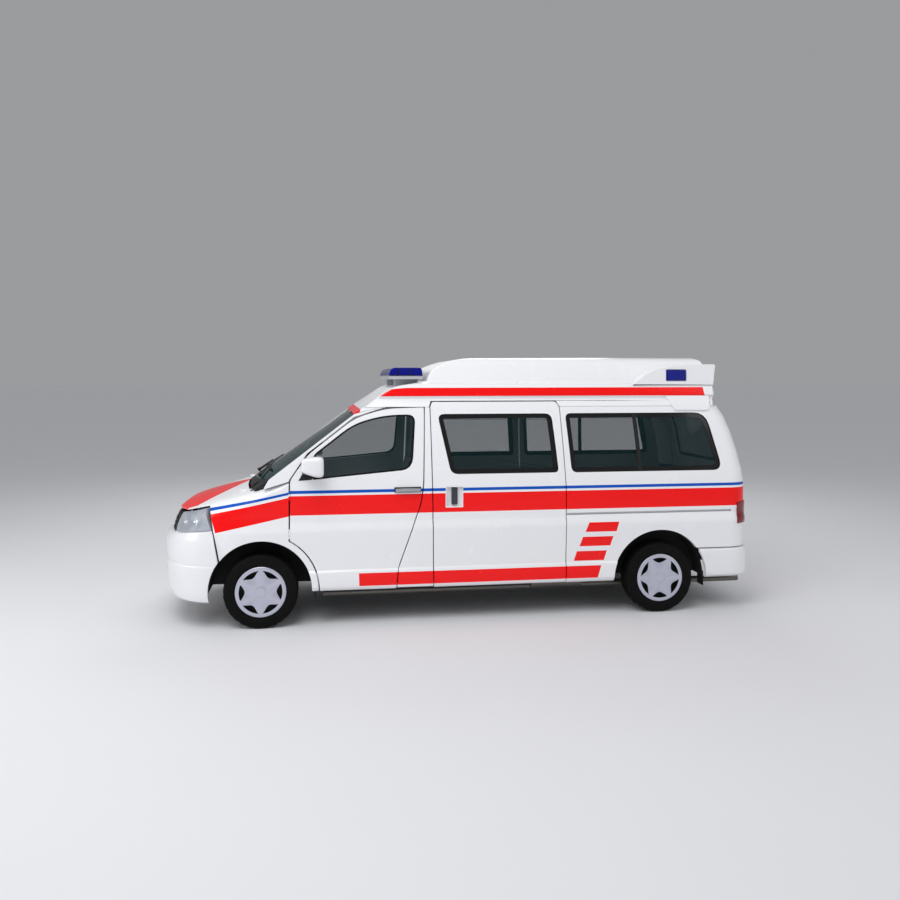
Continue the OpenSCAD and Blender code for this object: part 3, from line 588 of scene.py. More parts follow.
# Blue polycarbonate dome with vertical optics moulded inside
BLUE_LENS = Finish("polycarbonate_blue", "000F80", 0.12, ior=1.4, coat=0.1, mottle=0.25, mottle_mm=40.0,
                   ribs_mm=14.0, grain_depth_mm=1.2)
# Red acrylic with moulded ribs
RED_LENS = Finish("acrylic_red", "7A0410", 0.14, coat=0.3, mottle=0.12, mottle_mm=30.0,
                  ribs_mm=9.0, ribs_axis="Z", grain_depth_mm=1.0)
# Grey glass-filled nylon of the light bar's base
BAR_GREY = Finish("nylon_grey", "B4B7BC", 0.45, mottle=0.06, grain_mm=4.0, grain_depth_mm=0.3)
# Wheel covers: silver metallic lacquer with a violet cast
SILVER = Finish("metallic_lacquer_silver", "C2C4D4", 0.34, metallic=0.4, coat=0.4, mottle=0.03)
# Pressed steel rim behind the cover, near black as painted shade for the dark seen through the cover's
# openings
SHADED_RIM_STEEL = Finish("rim_steel_shaded_black", "131316", 0.6, metallic=0.3, mottle=0.15)
# Vulcanised tyre rubber: matt charcoal with a faint bloom
TYRE = Finish("tyre_rubber", "060607", 0.85, ior=1.3, mottle=0.16, mottle_mm=60.0,
              grain_mm=5.0, grain_depth_mm=0.5)
# Moulded rubber sheet of the mud flaps: matt and dusty
FLAP = Finish("mud_flap_rubber", "121214", 0.7, mottle=0.15)
# Stone-chip coat under the floor: rough bitumen
UNDERSEAL = Finish("underseal_bitumen", "1B1B1D", 0.8, mottle=0.2, grain_mm=9.0, grain_depth_mm=1.2)
# Dipped black enamel on pressed steel: satin, uneven where it ran
CHASSIS = Finish("chassis_enamel_black", "17181A", 0.42, mottle=0.12, grain_mm=14.0, grain_depth_mm=0.5)
# Bare sand-cast iron: grey, rough to the touch
CAST = Finish("cast_iron_grey", "55565A", 0.62, metallic=0.6, mottle=0.18, grain_mm=6.0, grain_depth_mm=0.8)
# Aluminised steel tube, browned in patches by heat
EXHAUST = Finish("aluminised_steel", "77746F", 0.45, metallic=0.9, mottle=0.2, mottle_mm=70.0)
# Blow-moulded polyethylene: black, waxy, faintly pitted
TANK = Finish("blow_moulded_polyethylene", "141417", 0.6, mottle=0.1, grain_mm=12.0, grain_depth_mm=0.6)
# Slush-moulded vinyl skin with a leather grain
DASH = Finish("slush_moulded_vinyl_charcoal", "3C3F44", 0.62, mottle=0.06, grain_mm=4.0, grain_depth_mm=0.5)
# Drawn and anodised aluminium tube: satin, clean
ALUMINIUM = Finish("anodised_aluminium", "B9BBBF", 0.34, metallic=0.9, mottle=0.05)
# Seat cloth: grey flat weave, its thread spacing drawn coarse so that it shows
CLOTH = Finish("seat_cloth_grey", "5A5E66", 0.9, sheen=0.4, mottle=0.12, mottle_mm=8.0,
               grain_mm=6.0, grain_depth_mm=1.0)
# Wipe-clean mattress cover: blue-grey coated cloth
MATTRESS = Finish("coated_cloth_blue", "2F4E6E", 0.5, sheen=0.2, mottle=0.06,
                  grain_mm=7.0, grain_depth_mm=0.6)
# Grained ABS moulding of the seat plinths and the bench's box
PLINTH = Finish("moulded_abs_grey", "77797D", 0.5, mottle=0.06, grain_mm=4.0, grain_depth_mm=0.4)


def dress(piece: Obj, body: str, slot: str, *finishes: Finish,
          nodes: Sequence[str] = ()) -> Obj:
    """Gives a piece its finishes, its body and the nodes that it stands for.

    Args:
        piece: the finished mesh.
        body: the body that it rides on.
        slot: the record's material slot; not used.
        finishes: one finish per material index.
        nodes: nodes that the piece replaces.

    Returns:
        The piece.
    """
    while len(piece.data.materials) < len(finishes):
        piece.data.materials.append(None)
    for index, finish in enumerate(finishes):
        piece.data.materials[index] = finish.material()
    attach(piece, body)
    if nodes:
        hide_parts(*nodes)
    LOG.info("%s rides on %s with %d faces", piece.name, body, len(piece.data.polygons))
    return piece


@dataclass
class Panel:
    """A sheet panel made from a node's solid: lined inside, sealed at its panes, rounded at its edges."""

    node: str
    body: str
    finish: Finish
    slot: str = "body_white"
    round_mm: float = 3.0
    segments: int = 2
    lined: bool = False
    panes: tuple[str, ...] = ()
    lining_height: float = 1.1
    # Height of corners that lie too near a fold to be rounded, and how far they are lowered
    lowered: Corner = (0.0, 0.0)
    # Node that sits on the panel, whose underside the panel's top edge follows
    under: str = ""
    seat_gap: float = 3.0
    # How far the raised edge leans forward, as a share of its rise
    seat_lean: float = 0.23

    def build(self) -> Obj:
        """Models and dresses the panel.

        Returns:
            The finished piece.
        """
        piece = copy_of(self.node, "panel_" + self.node)
        height, drop = self.lowered
        for vertex in piece.data.vertices:
            if drop and abs(vertex.co.z / MM - height) < 0.5:
                vertex.co.z -= drop * MM
        if self.under:
            self.meet(piece)
        self.sort_faces(piece)
        round_edges(piece, self.round_mm, self.segments)
        return dress(piece, self.body, self.slot, self.finish, LINING, SEAL, nodes=[self.node])

    def meet(self, piece: Obj) -> None:
        """Raises the panel's top edge to the underside of the node that sits on it.

        Args:
            piece: the panel's mesh.
        """
        upper = SURVEY.nodes[self.under].data
        underside = [face for face in upper.polygons if face.normal.z < -0.8]
        edge = [upper.vertices[i].co for face in underside for i in face.vertices]
        tree = kdtree.KDTree(len(edge))
        for i, point in enumerate(edge):
            tree.insert((point.x, point.y, 0.0), i)
        tree.balance()
        top = max(vertex.co.z for vertex in piece.data.vertices)
        for vertex in piece.data.vertices:
            if vertex.co.z > top - MM:
                _, index, _ = tree.find((vertex.co.x, vertex.co.y, 0.0))
                rise = max(0.0, edge[index].z - self.seat_gap * MM - top)
                vertex.co += Vector((-self.seat_lean * rise, 0.0, rise))

    def sort_faces(self, piece: Obj) -> None:
        """Marks the faces of the inside and of the window reveals.

        Args:
            piece: the panel's mesh.
        """
        points = [v.co for pane in self.panes for v in SURVEY.nodes[pane].data.vertices]
        tree = kdtree.KDTree(max(1, len(points)))
        for i, point in enumerate(points):
            tree.insert((point.x, math.copysign(1.0, point.y), point.z), i)
        tree.balance()
        for _ in range(3):
            piece.data.materials.append(None)
        vertices = piece.data.vertices
        for face in piece.data.polygons:
            centre, normal = face.center, face.normal
            # The lining is what faces the cabin's long axis, without what faces ahead
            to_axis = Vector((0, -centre.y, self.lining_height - centre.z))
            if self.lined and normal.x > -0.4 and normal.dot(to_axis) > 0.25 * to_axis.length:
                face.material_index = 1
            on_pane = (self.at_pane(tree, vertices[i].co) for i in face.vertices)
            if points and abs(normal.y) < 0.5 and all(on_pane):
                face.material_index = 2

    def at_pane(self, tree: kdtree.KDTree, point: Vector) -> bool:
        """Whether a point lies on a pane's rim."""
        return tree.find((point.x, math.copysign(1.0, point.y), point.z))[2] < 2.5 * MM


@dataclass
class Shell:
    """The painted shell: body sides, roof, doors, fenders, hood, tailgate and bumpers."""

    def panels(self) -> list[Panel]:
        """Lists the panels with their finishes.

        Returns:
            The panels in the order in which they are built.
        """
        roof = paint("enamel_roof", ROOF_RED, BROW_RED)
        side = paint("enamel_body_side", SIDE_RED, SIDE_BLUE, SILL_RED, *SLASHES)
        door = paint("enamel_front_door", SIDE_RED, SIDE_BLUE, SILL_RED)
        slider = paint("enamel_sliding_door", SIDE_RED, SIDE_BLUE, SILL_RED, HANDLE_FIELD)
        gate = paint("enamel_tailgate", SIDE_RED, SIDE_BLUE)
        panels = [
            Panel("body_sides", "body", side, lined=True, panes=("side_windows",)),
            Panel("sliding_doors", "body", slider, round_mm=2.0, lined=True, panes=("side_windows",),
                  lowered=(1134.0, 9.0)),
            Panel("raised_roof", "body", roof, round_mm=10, segments=3, lined=True, lining_height=1.9),
            Panel("roof_pods", "body", PLAIN_WHITE, round_mm=9, segments=3),
            Panel("front_fenders", "body", paint("enamel_fender", FENDER_RED, FENDER_BLUE)),
            Panel("hood", "hood", paint("enamel_hood", HOOD_RED, HOOD_CUT)),
            Panel("tailgate", "tailgate", gate, panes=("tailgate_glass",)),
            Panel("front_bumper", "body", BUMPER_WHITE, "bumper_white", 4.0, under="headlamps"),
            Panel("rear_bumper", "body", BUMPER_WHITE, "bumper_white", 5.0)]
        for name, _ in SIDES:
            node = f"front_door_{name}"
            panels.append(Panel(node, f"door_{name}", door, lined=True, panes=(node + "_glass",)))
        return panels

    def build(self) -> None:
        """Models every panel."""
        for panel in self.panels():
            panel.build()


@dataclass
class Glazing:
    """Panes with a black printed border, and the bars of the sliding quarter windows."""

    # Width of the printed border of the side, tailgate, windshield and front door panes
    side_border: float = 40.0
    gate_border: float = 32.0
    screen_border: float = 34.0
    door_border: float = 14.0
    # Stations and heights between which a bar stands, how far its top leans forward, its thickness
    bar: Corner = (3204.0, 3240.0)
    bar_height: Corner = (1240.0, 1728.0)
    bar_lean: float = 30.0
    bar_thickness: float = 7.0

    def build(self) -> None:
        """Models every pane."""
        self.pane("side_windows", "body", self.side_border, lambda n: abs(n.y) > 0.5)
        self.pane("tailgate_glass", "tailgate", self.gate_border, lambda n: abs(n.x) > 0.5)
        self.pane("windshield", "body", self.screen_border, lambda n: abs(n.z) > 0.3)
        for name, _ in SIDES:
            node = f"front_door_{name}_glass"
            self.pane(node, f"door_{name}", self.door_border, lambda n: abs(n.y) > 0.5)
        self.bars()

    def pane(self, node: str, body: str, border: float, outer: Callable[[Vector], bool]) -> None:
        """Copies a pane and prints its border.

        Args:
            node: the pane's node.
            body: the body that carries it.
            border: the border's width in mm.
            outer: tells whether a normal belongs to the outer or inner face.
        """
        piece = copy_of(node, "pane_" + node)
        for _ in range(2):
            piece.data.materials.append(None)
        with editing(piece):
            choose(piece, lambda face: outer(face.normal))
            bpy.ops.mesh.inset(thickness=border * MM, use_even_offset=True, use_select_inset=False)
            inner = bmesh.from_edit_mesh(piece.data)
            for face in inner.faces:
                face.material_index = 0 if face.select else 1
        smooth(piece, 40.0)
        dress(piece, body, "glass_tint", GLASS, FRIT, nodes=[node])

    def bars(self) -> None:
        """The upright bars where the quarter windows slide."""
        target = bpy.data.objects["pane_side_windows"]
        for name, side in SIDES:
            low = SURVEY.at(self.bar[0], side * 1000, self.bar_height[0])
            high = SURVEY.at(self.bar[1], side * 1000, self.bar_height[1])
            deselect()
            bpy.ops.mesh.primitive_grid_add(x_subdivisions=3, y_subdivisions=14, size=1.0)
            bar = named(f"window_bar_{name}")
            for vertex in bar.data.vertices:
                u, v = vertex.co.x + 0.5, vertex.co.y + 0.5
                along = low.x + (high.x - low.x) * u - self.bar_lean * MM * v
                vertex.co = Vector((along, low.y, low.z + (high.z - low.z) * v))
            work(bar, "SHRINKWRAP", target=target, wrap_method="PROJECT", use_project_x=False,
                 use_project_y=True, use_negative_direction=True, use_positive_direction=True, offset=1 * MM)
            work(bar, "SOLIDIFY", thickness=self.bar_thickness * MM, offset=0.0)
            outward(bar)
            round_edges(bar, 1.5)
            dress(bar, "body", "trim_dark", SEAL)


@dataclass
class RoadWheels:
    """Tyres with grooved treads, and silver covers over black rims."""

    radius: float = 300.0
    groove_depth: float = 7.0
    groove_width: float = 9.0
    grooves: tuple[float, ...] = (-42.0, -14.0, 14.0, 42.0)
    steps: int = 84
    # Distance of the cover's back from the wheel's middle, and the cover's wall
    cover_depth: float = 72.0
    cover_wall: float = 3.0
    spans: int = 120
    openings: int = 6
    scoop: float = 12.0
    # Radius where the scoop begins, and how far out it reaches its full depth
    scoop_from: float = 80.0
    scoop_run: float = 45.0
    # Least radius and distance from the middle of the shoulder slots, and their depth
    slot_reach: float = 293.5
    slot_aside: float = 47.0
    slot_depth: float = 4.0
    # Radius and depth of each ring of the cover
    rings: tuple[Corner, ...] = (
        (30, 98), (41, 96.5), (46, 92.5), (66, 92.5), (90, 93.5), (110, 94.5), (127, 95), (174, 96.5),
        (180, 97.5), (190, 98), (199, 96), (203, 92))
    # Inner and outer radius and half angle of an opening
    hole: tuple[float, float, float] = (127.0, 174.0, 22.5)

    def section(self) -> list[Corner]:
        """Lays out the tyre's section: both flanks and the grooved tread between them.

        Returns:
            Distance across and radius of each point, in mm.
        """
        flank = [(82, 194), (90, 202), (94, 212), (92.5, 216), (96.5, 224), (97, 248), (95.5, 262),
                 (93, 265), (94, 270), (91, 283), (84, 293), (76, 298), (66, 300)]
        tread: list[Corner] = []
        for middle in self.grooves:
            half = self.groove_width / 2
            deep = self.radius - self.groove_depth
            tread += [(middle - half, self.radius), (middle - half + 1.5, deep)]
            tread += [(middle + half - 1.5, deep), (middle + half, self.radius)]
        left = [(-y, r) for y, r in flank]
        return left + tread + list(reversed(flank))

    def build(self) -> None:
        """Models the four wheels."""
        tyre = self.tyre()
        for end, station in (("front", 0.0), ("rear", SURVEY.wheelbase)):
            for name, side in SIDES:
                low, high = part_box(f"tyre_{end}_{name}")
                copy = bpy.data.objects.new(f"tread_tyre_{end}_{name}", tyre.data.copy())
                bpy.context.scene.collection.objects.link(copy)
                copy.data.transform(Matrix.Translation((low + high) / 2))
                body = f"road_wheel_{end}_{name}"
                dress(copy, body, "tyre", TYRE, nodes=[f"tyre_{end}_{name}"])
                self.rim(f"wheel_{end}_{name}", body, side, (low + high) / 2)
                self.cover(f"{end}_{name}", body, side, (low + high) / 2, 0.0 if end == "front" else 30.0)
        bpy.data.objects.remove(tyre)

    def tyre(self) -> Obj:
        """Spins the section into a tyre about the Y axis and cuts the shoulder slots.

        Returns:
            The tyre at the origin.
        """
        ring = loop_of("tyre_pattern", [Vector((r * MM, y * MM, 0)) for y, r in self.section()], False)
        with editing(ring, "VERT", everything=True):
            bpy.ops.mesh.spin(steps=self.steps, angle=math.tau, center=(0, 0, 0), axis=(0, 1, 0))
            bpy.ops.mesh.select_all(action="SELECT")
            bpy.ops.mesh.remove_doubles(threshold=1e-5)
            bpy.ops.mesh.normals_make_consistent(inside=False)
        with editing(ring):
            choose(ring, self.in_slot)
            sunk = {"value": -self.slot_depth * MM}
            bpy.ops.mesh.extrude_region_shrink_fatten(TRANSFORM_OT_shrink_fatten=sunk)
        smooth(ring, 34.0)
        return ring

    def in_slot(self, face: bmesh.types.BMFace) -> bool:
        """Whether a face of the tyre is the floor of a shoulder slot, one face in three round the tread.

        Args:
            face: a face of the tyre at the origin.

        Returns:
            True for a slot's floor.
        """
        centre = face.calc_center_median()
        turn = int(math.atan2(centre.z, centre.x) % math.tau / (math.tau / self.steps))
        reach = math.hypot(centre.x, centre.z)
        return turn % 3 == 0 and reach > self.slot_reach * MM and abs(centre.y) > self.slot_aside * MM

    def rim(self, node: str, body: str, side: int, centre: Vector) -> None:
        """Copies a wheel up to the cover's back, as the pressed rim and hub.

        Args:
            node: the wheel's node.
            body: its body.
            side: -1 for the left, 1 for the right.
            centre: the wheel's middle.
        """
        piece = copy_of(node, "rim_" + node)
        with editing(piece, everything=True):
            back = centre + Vector((0, side * self.cover_depth * MM, 0))
            bpy.ops.mesh.bisect(plane_co=back, plane_no=(0, side, 0), clear_outer=True, use_fill=True)
        round_edges(piece, 2.0)
        # Near-black rim: painted shade for the dark seen through the cover's openings
        dress(piece, body, "wheel_silver", SHADED_RIM_STEEL, nodes=[node])

    def cover(self, name: str, body: str, side: int, centre: Vector, turn: float) -> None:
        """Models a cover: a dished disc with half-moon openings, scooped towards the hub.

        Args:
            name: the wheel's name.
            body: its body.
            side: -1 for the left, 1 for the right.
            centre: the wheel's middle.
            turn: the first opening's angle in degrees.
        """
        deselect()
        hub = self.rings[0][0] * MM
        bpy.ops.mesh.primitive_circle_add(vertices=self.spans, radius=hub, fill_type="NGON")
        disc = named("cover_" + name)
        with editing(disc, "EDGE", everything=True):
            for (r0, d0), (r1, d1) in zip(self.rings, self.rings[1:]):
                bpy.ops.mesh.extrude_edges_move()
                bpy.ops.transform.resize(value=(r1 / r0, r1 / r0, 1))
                bpy.ops.transform.translate(value=(0, 0, (d1 - d0) * MM))
        with editing(disc):
            choose(disc, lambda face: self.is_open(face.calc_center_median(), turn))
            bpy.ops.mesh.delete(type="FACE")
        low, high, wide = self.hole
        for vertex in disc.data.vertices:
            reach = math.hypot(vertex.co.x, vertex.co.y) / MM
            aside = min(1.0, self.off(vertex.co, turn) / wide)
            if self.scoop_from < reach < high - 1:
                share = min(1.0, (reach - self.scoop_from) / self.scoop_run)
                vertex.co.z -= self.scoop * MM * (1 - aside ** 2) * share
            if abs(reach - low) < 1:
                # The opening's inner edge bows out to its corners
                stretch = 1 + (high - 4 - low) / low * aside ** 2
                vertex.co.x *= stretch
                vertex.co.y *= stretch
        work(disc, "SOLIDIFY", thickness=self.cover_wall * MM, offset=1.0)
        outward(disc)
        work(disc, "BEVEL", width=1.2 * MM, segments=2, limit_method="ANGLE", angle_limit=math.radians(40))
        smooth(disc, 60.0)
        base = centre + Vector((0, side * (self.rings[0][1] - self.cover_wall) * MM, 0))
        place = Matrix(((-side, 0, 0, base.x), (0, 0, side, base.y), (0, 1, 0, base.z), (0, 0, 0, 1)))
        disc.data.transform(place)
        dress(disc, body, "wheel_silver", SILVER)

    def off(self, point: Vector, turn: float) -> float:
        """How far a point of the cover lies from the nearest opening's middle, in degrees.

        Args:
            point: a point of the cover about the Z axis.
            turn: the first opening's angle in degrees.

        Returns:
            The angle, never negative.
        """
        pitch = 360 / self.openings
        return abs((math.degrees(math.atan2(point.y, point.x)) - turn + pitch / 2) % pitch - pitch / 2)

    def is_open(self, point: Vector, turn: float) -> bool:
        """Whether a point of the cover lies in an opening.

        Args:
            point: a point of the cover about the Z axis.
            turn: the first opening's angle in degrees.

        Returns:
            True inside an opening.
        """
        low, high, wide = self.hole
        return low < math.hypot(point.x, point.y) / MM < high and self.off(point, turn) < wide


@dataclass
class Lamps:
    """Headlamps with reflectors behind clear lenses, red tail lamps and the blue warning lamps."""

    dish_radius: float = 62.0
    dish_depth: float = 38.0
    # Middle of each dish's mouth in mm, the way it faces, and its share of the radius
    dishes: tuple[tuple, ...] = (
        ((-634, 575, 861), (-1, 0.35, 0.06), 1.0), ((-538, 721, 881), (-0.8, 0.75, 0.06), 0.8))
    # Heights between which the light bar's uprights stand
    uprights: Corner = (2060.0, 2122.0)

    def build(self) -> None:
        """Models every lamp."""
        self.headlamps()
        Plain("tail_lamps", "lens_red", RED_LENS, 2.0, name="lens_tail_lamps").build()
        Plain("blue_lenses", "lens_blue", BLUE_LENS, 6.0, name="lens_blue", segments=3).build()
        Plain("light_bar", "lightbar_grey", BAR_GREY, 4.0, name="light_bar_base").build()
        self.bar_optics()

    def headlamps(self) -> None:
        """Splits the lamp's solid into a clear lens and a bright housing, with two dishes inside."""
        lens = copy_of("headlamps", "lens_headlamps")
        for _ in range(2):
            lens.data.materials.append(None)
        # The lens is what faces ahead and outwards, the housing all else
        for face in lens.data.polygons:
            ahead = Vector((-0.62, math.copysign(0.78, face.center.y), 0.1))
            face.material_index = 0 if face.normal.dot(ahead) > 0.45 else 1
        round_edges(lens, 4.0, 3)
        # The lens's pale, partly opaque face is painted light over the lamp's inside
        dress(lens, "body", "lamp_clear", PAINTED_LIGHT_LENS, LAMP_BEZEL, nodes=["headlamps"])
        for name, side in SIDES:
            pair = []
            for (x, y, z), (ahead, out, up), share in self.dishes:
                place, aim = SURVEY.at(x, side * y, z), Vector((ahead, side * out, up))
                pair.append(self.dish(place, aim, self.dish_radius * share))
            dress(joined(f"headlamp_dishes_{name}", pair), "body", "lamp_clear", REFLECTOR)

    def dish(self, place: Vector, aim: Vector, radius: float) -> Obj:
        """Models one reflector with its bulb.

        Args:
            place: the middle of its mouth.
            aim: the way it faces.
            radius: the mouth's radius in mm.

        Returns:
            The dish.
        """
        deselect()
        bpy.ops.mesh.primitive_uv_sphere_add(segments=32, ring_count=16, radius=radius * MM)
        bowl = named("dish")
        with editing(bowl, everything=True):
            bpy.ops.mesh.bisect(plane_co=(0, 0, 0), plane_no=(0, 0, 1), clear_outer=True)
        for vertex in bowl.data.vertices:
            vertex.co.z *= self.dish_depth / radius
        work(bowl, "SOLIDIFY", thickness=2.5 * MM, offset=1.0)
        bpy.ops.mesh.primitive_uv_sphere_add(
            segments=16, ring_count=10, radius=11 * MM, location=(0, 0, -16 * MM))
        bulb = named("bulb")
        bulb.scale = (1, 1, 1.6)
        settle(bulb)
        both = joined("dish", [bowl, bulb])
        smooth(both, 50.0)
        both.data.transform(Matrix.Translation(place) @ aim.to_track_quat("Z", "Y").to_matrix().to_4x4())
        return both

    def bar_optics(self) -> None:
        """Dark uprights that divide the light bar's dome into cells."""
        base, top = self.uprights
        # Station and distance from the middle of each upright's near and far end, and its top
        ends = [(station, side * 558.5 - 1.5, station + 8, side * 558.5 + 1.5, top)
                for _, side in SIDES for station in (1150, 1245)]
        ends += [(1066, y - 4, 1072, y + 4, top - 40) for y in range(-480, 481, 160)]
        cells = [slab("cell", SURVEY.at(x0, y0, base), SURVEY.at(x1, y1, z1)) for x0, y0, x1, y1, z1 in ends]
        bars = joined("light_bar_uprights", cells)
        round_edges(bars, 0.8)
        dress(bars, "body", "trim_dark", FRIT)


@dataclass
class DoorFittings:
    """Mirrors, sail panels and pull handles of the front doors."""

    mirror_low: tuple[float, float, float] = (328.0, 905.0, 1237.0)
    mirror_high: tuple[float, float, float] = (508.0, 1054.0, 1401.0)
    # Length of the mirror's nose, how much it narrows across and in height, and how far it rises
    mirror_nose: float = 120.0
    mirror_narrow: Corner = (0.3, 0.34)
    mirror_lift: float = 12.0
    foot_low: tuple[float, float, float] = (330.0, 880.0, 1240.0)
    foot_high: tuple[float, float, float] = (396.0, 925.0, 1272.0)
    # How far the foot's outer end lies behind and above its inner end
    foot_sweep: Corner = (22.0, 14.0)
    # Stations of the pull handle's ends, and its height
    handle: tuple[float, float, float] = (1092.0, 1298.0, 1110.0)
    # Station and height of the sail panel's corners
    sail_corners: tuple[Corner, ...] = ((302, 1199), (414, 1206), (418, 1392), (407, 1388))

    def build(self) -> None:
        """Models the fittings of both doors."""
        parts = (
            ("mirror", self.mirror, "bumper_white", BUMPER_WHITE),
            ("mirror_glass", self.mirror_glass, "bumper_white", CHROME),
            ("mirror_foot", self.foot, "trim_dark", TRIM),
            ("handle", self.grip, "bumper_white", CHROME),
            ("sail", self.sail, "trim_dark", TRIM),
            # The cup's black is painted shade under the pull handle
            ("handle_shade_cup", self.cup, "trim_dark", TRIM))
        for name, side in SIDES:
            for part, model, slot, finish in parts:
                piece = model()
                piece.name = f"{part}_right"
                final = piece if side > 0 else mirrored(piece, f"{part}_left")
                if side < 0:
                    bpy.data.objects.remove(piece)
                stands_for = [f"front_door_{name}_trim"] if part == "mirror" else ()
                dress(final, f"door_{name}", slot, finish, nodes=stands_for)

    def mirror(self) -> Obj:
        """The mirror's housing, full ahead and hollowed behind.

        Returns:
            The housing on the right door.
        """
        low, high = SURVEY.at(*self.mirror_low), SURVEY.at(*self.mirror_high)
        shell = slab("mirror", low, high, 2)
        middle = (low + high) / 2
        for vertex in shell.data.vertices:
            ahead = max(0.0, 1 - (vertex.co.x - low.x) / (self.mirror_nose * MM))
            vertex.co.y = middle.y + (vertex.co.y - middle.y) * (1 - self.mirror_narrow[0] * ahead)
            vertex.co.z = middle.z + (vertex.co.z - middle.z) * (1 - self.mirror_narrow[1] * ahead)
            vertex.co.z += self.mirror_lift * MM * ahead
        work(shell, "SUBSURF", levels=2, render_levels=2)
        with editing(shell):
            choose(shell, lambda face: face.normal.x > 0.8 and face.calc_center_median().x > high.x - 0.03)
            bpy.ops.mesh.inset(thickness=7 * MM)
            bpy.ops.mesh.extrude_region_move(TRANSFORM_OT_translate={"value": (-12 * MM, 0, 0)})
        smooth(shell, 50.0)
        return shell

    def mirror_glass(self) -> Obj:
        """The mirror's pane, set back in the housing.

        Returns:
            The pane on the right door.
        """
        low = SURVEY.at(self.mirror_high[0] - 14, self.mirror_low[1] + 17, self.mirror_low[2] + 17)
        high = SURVEY.at(self.mirror_high[0] - 9, self.mirror_high[1] - 17, self.mirror_high[2] - 17)
        pane = slab("mirror_glass", low, high)
        with editing(pane, "EDGE", everything=True):
            bpy.ops.mesh.bevel(offset=2 * MM, segments=2)
        round_edges(pane, 0.5)
        return pane

    def foot(self) -> Obj:
        """The arm that carries the mirror on the sail panel.

        Returns:
            The arm on the right door.
        """
        arm = slab("mirror_foot", SURVEY.at(*self.foot_low), SURVEY.at(*self.foot_high), 2)
        start, end = self.foot_low[1], self.foot_high[1]
        for vertex in arm.data.vertices:
            out = (vertex.co.y / MM - start) / (end - start)
            vertex.co.x += self.foot_sweep[0] * MM * out
            vertex.co.z += self.foot_sweep[1] * MM * out
        work(arm, "BEVEL", width=8 * MM, segments=3, limit_method="ANGLE", angle_limit=math.radians(50))
        smooth(arm, 60.0)
        return arm

    def grip(self) -> Obj:
        """The pull handle: a bowed bar whose ends turn in to the door.

        Returns:
            The handle on the right door.
        """
        start, end, height = self.handle
        bar = slab("handle", SURVEY.at(start, 897, height - 14), SURVEY.at(end, 925, height + 14), 5)
        middle = SURVEY.x((start + end) / 2)
        half = (end - start) / 2 * MM
        # The ends turn in from a little past half way, and the back of the grip stands off the door
        for vertex in bar.data.vertices:
            along = abs(vertex.co.x - middle) / half
            inward = max(0.0, along - 0.55) / 0.45
            vertex.co.y -= 0.006 * inward * inward
            if along < 0.6 and vertex.co.y < 0.905:
                vertex.co.y = 0.909
            vertex.co.z += 0.003 * (1 - along * along)
        work(bar, "BEVEL", width=4 * MM, segments=2, limit_method="ANGLE", angle_limit=math.radians(50))
        work(bar, "SUBSURF", levels=1, render_levels=1)
        smooth(bar, 60.0)
        return bar

    def cup(self) -> Obj:
        """The cup behind the pull handle, black as painted shade under the handle.

        Returns:
            The cup on the right door.
        """
        start, end, height = self.handle
        low = SURVEY.at(start - 9, 884, height - 22)
        cup = slab("handle_shade_cup", low, SURVEY.at(end + 9, 892.5, height + 23))
        with editing(cup, "EDGE", everything=True):
            bpy.ops.mesh.bevel(offset=4 * MM, segments=3)
        smooth(cup, 50.0)
        return cup

    def sail(self) -> Obj:
        """The black triangular panel in the window's front corner.

        Returns:
            The panel on the right door.
        """
        plate = loop_of("sail", [SURVEY.at(x, 1000, z) for x, z in self.sail_corners], True)
        with editing(plate, everything=True):
            bpy.ops.mesh.quads_convert_to_tris()
            bpy.ops.mesh.subdivide(number_cuts=6)
        work(plate, "SHRINKWRAP", target=bpy.data.objects["panel_front_door_right"], wrap_method="PROJECT",
             use_project_y=True, use_negative_direction=True, use_positive_direction=True, offset=1.5 * MM)
        work(plate, "SOLIDIFY", thickness=3 * MM, offset=0.0)
        outward(plate)
        smooth(plate, 40.0)
        return plate


@dataclass
class Cushion:
    """A crowned, upholstered form with pulled-in sides and sewn channels."""

    name: str
    low: tuple[float, float, float]
    high: tuple[float, float, float]
    crown: float = 22.0
    channels: tuple[float, ...] = ()
    tilt: float = 0.0
    finish: Finish = CLOTH
    fill: float = 0.7

    def build(self) -> Obj:
        """Models the cushion.

        Returns:
            The cushion.
        """
        low, high = SURVEY.at(*self.low), SURVEY.at(*self.high)
        pad = slab(self.name, low, high, 11)
        middle, half = (low + high) / 2, (high - low) / 2
        thin = min(range(3), key=lambda i: half[i])
        wide = [i for i in range(3) if i != thin]
        for vertex in pad.data.vertices:
            t = [(vertex.co[i] - middle[i]) / half[i] for i in range(3)]
            u, v, w = t[wide[0]], t[wide[1]], t[thin]
            # The face is crowned, the back a quarter as much, and the channels are 0.4 of the crown deep
            swell = (1 - u ** 4) * (1 - v ** 4)
            edge = max(abs(u), abs(v)) ** 6
            rise = self.crown * MM * (swell - 1) * (1 if w > 0 else 0.25)
            groove = sum(math.exp(-((u - c) / 0.05) ** 2) for c in self.channels) * 0.4 * self.crown * MM
            vertex.co[thin] += math.copysign(1, w) * abs(w) * (rise - (groove if w > 0 else 0))
            waist = 1 - 0.03 * edge * (1 - w * w)
            for i in wide:
                vertex.co[i] = middle[i] + (vertex.co[i] - middle[i]) * waist
        work(pad, "BEVEL", width=12 * MM, segments=3, limit_method="ANGLE", angle_limit=math.radians(50))
        work(pad, "SUBSURF", levels=1, render_levels=1)
        smooth(pad, 70.0)
        if self.tilt:
            turn = Matrix.Rotation(math.radians(self.tilt), 4, "Y")
            pivot = Vector((middle.x, middle.y, low.z))
            pad.data.transform(Matrix.Translation(pivot) @ turn @ Matrix.Translation(-pivot))
        return pad


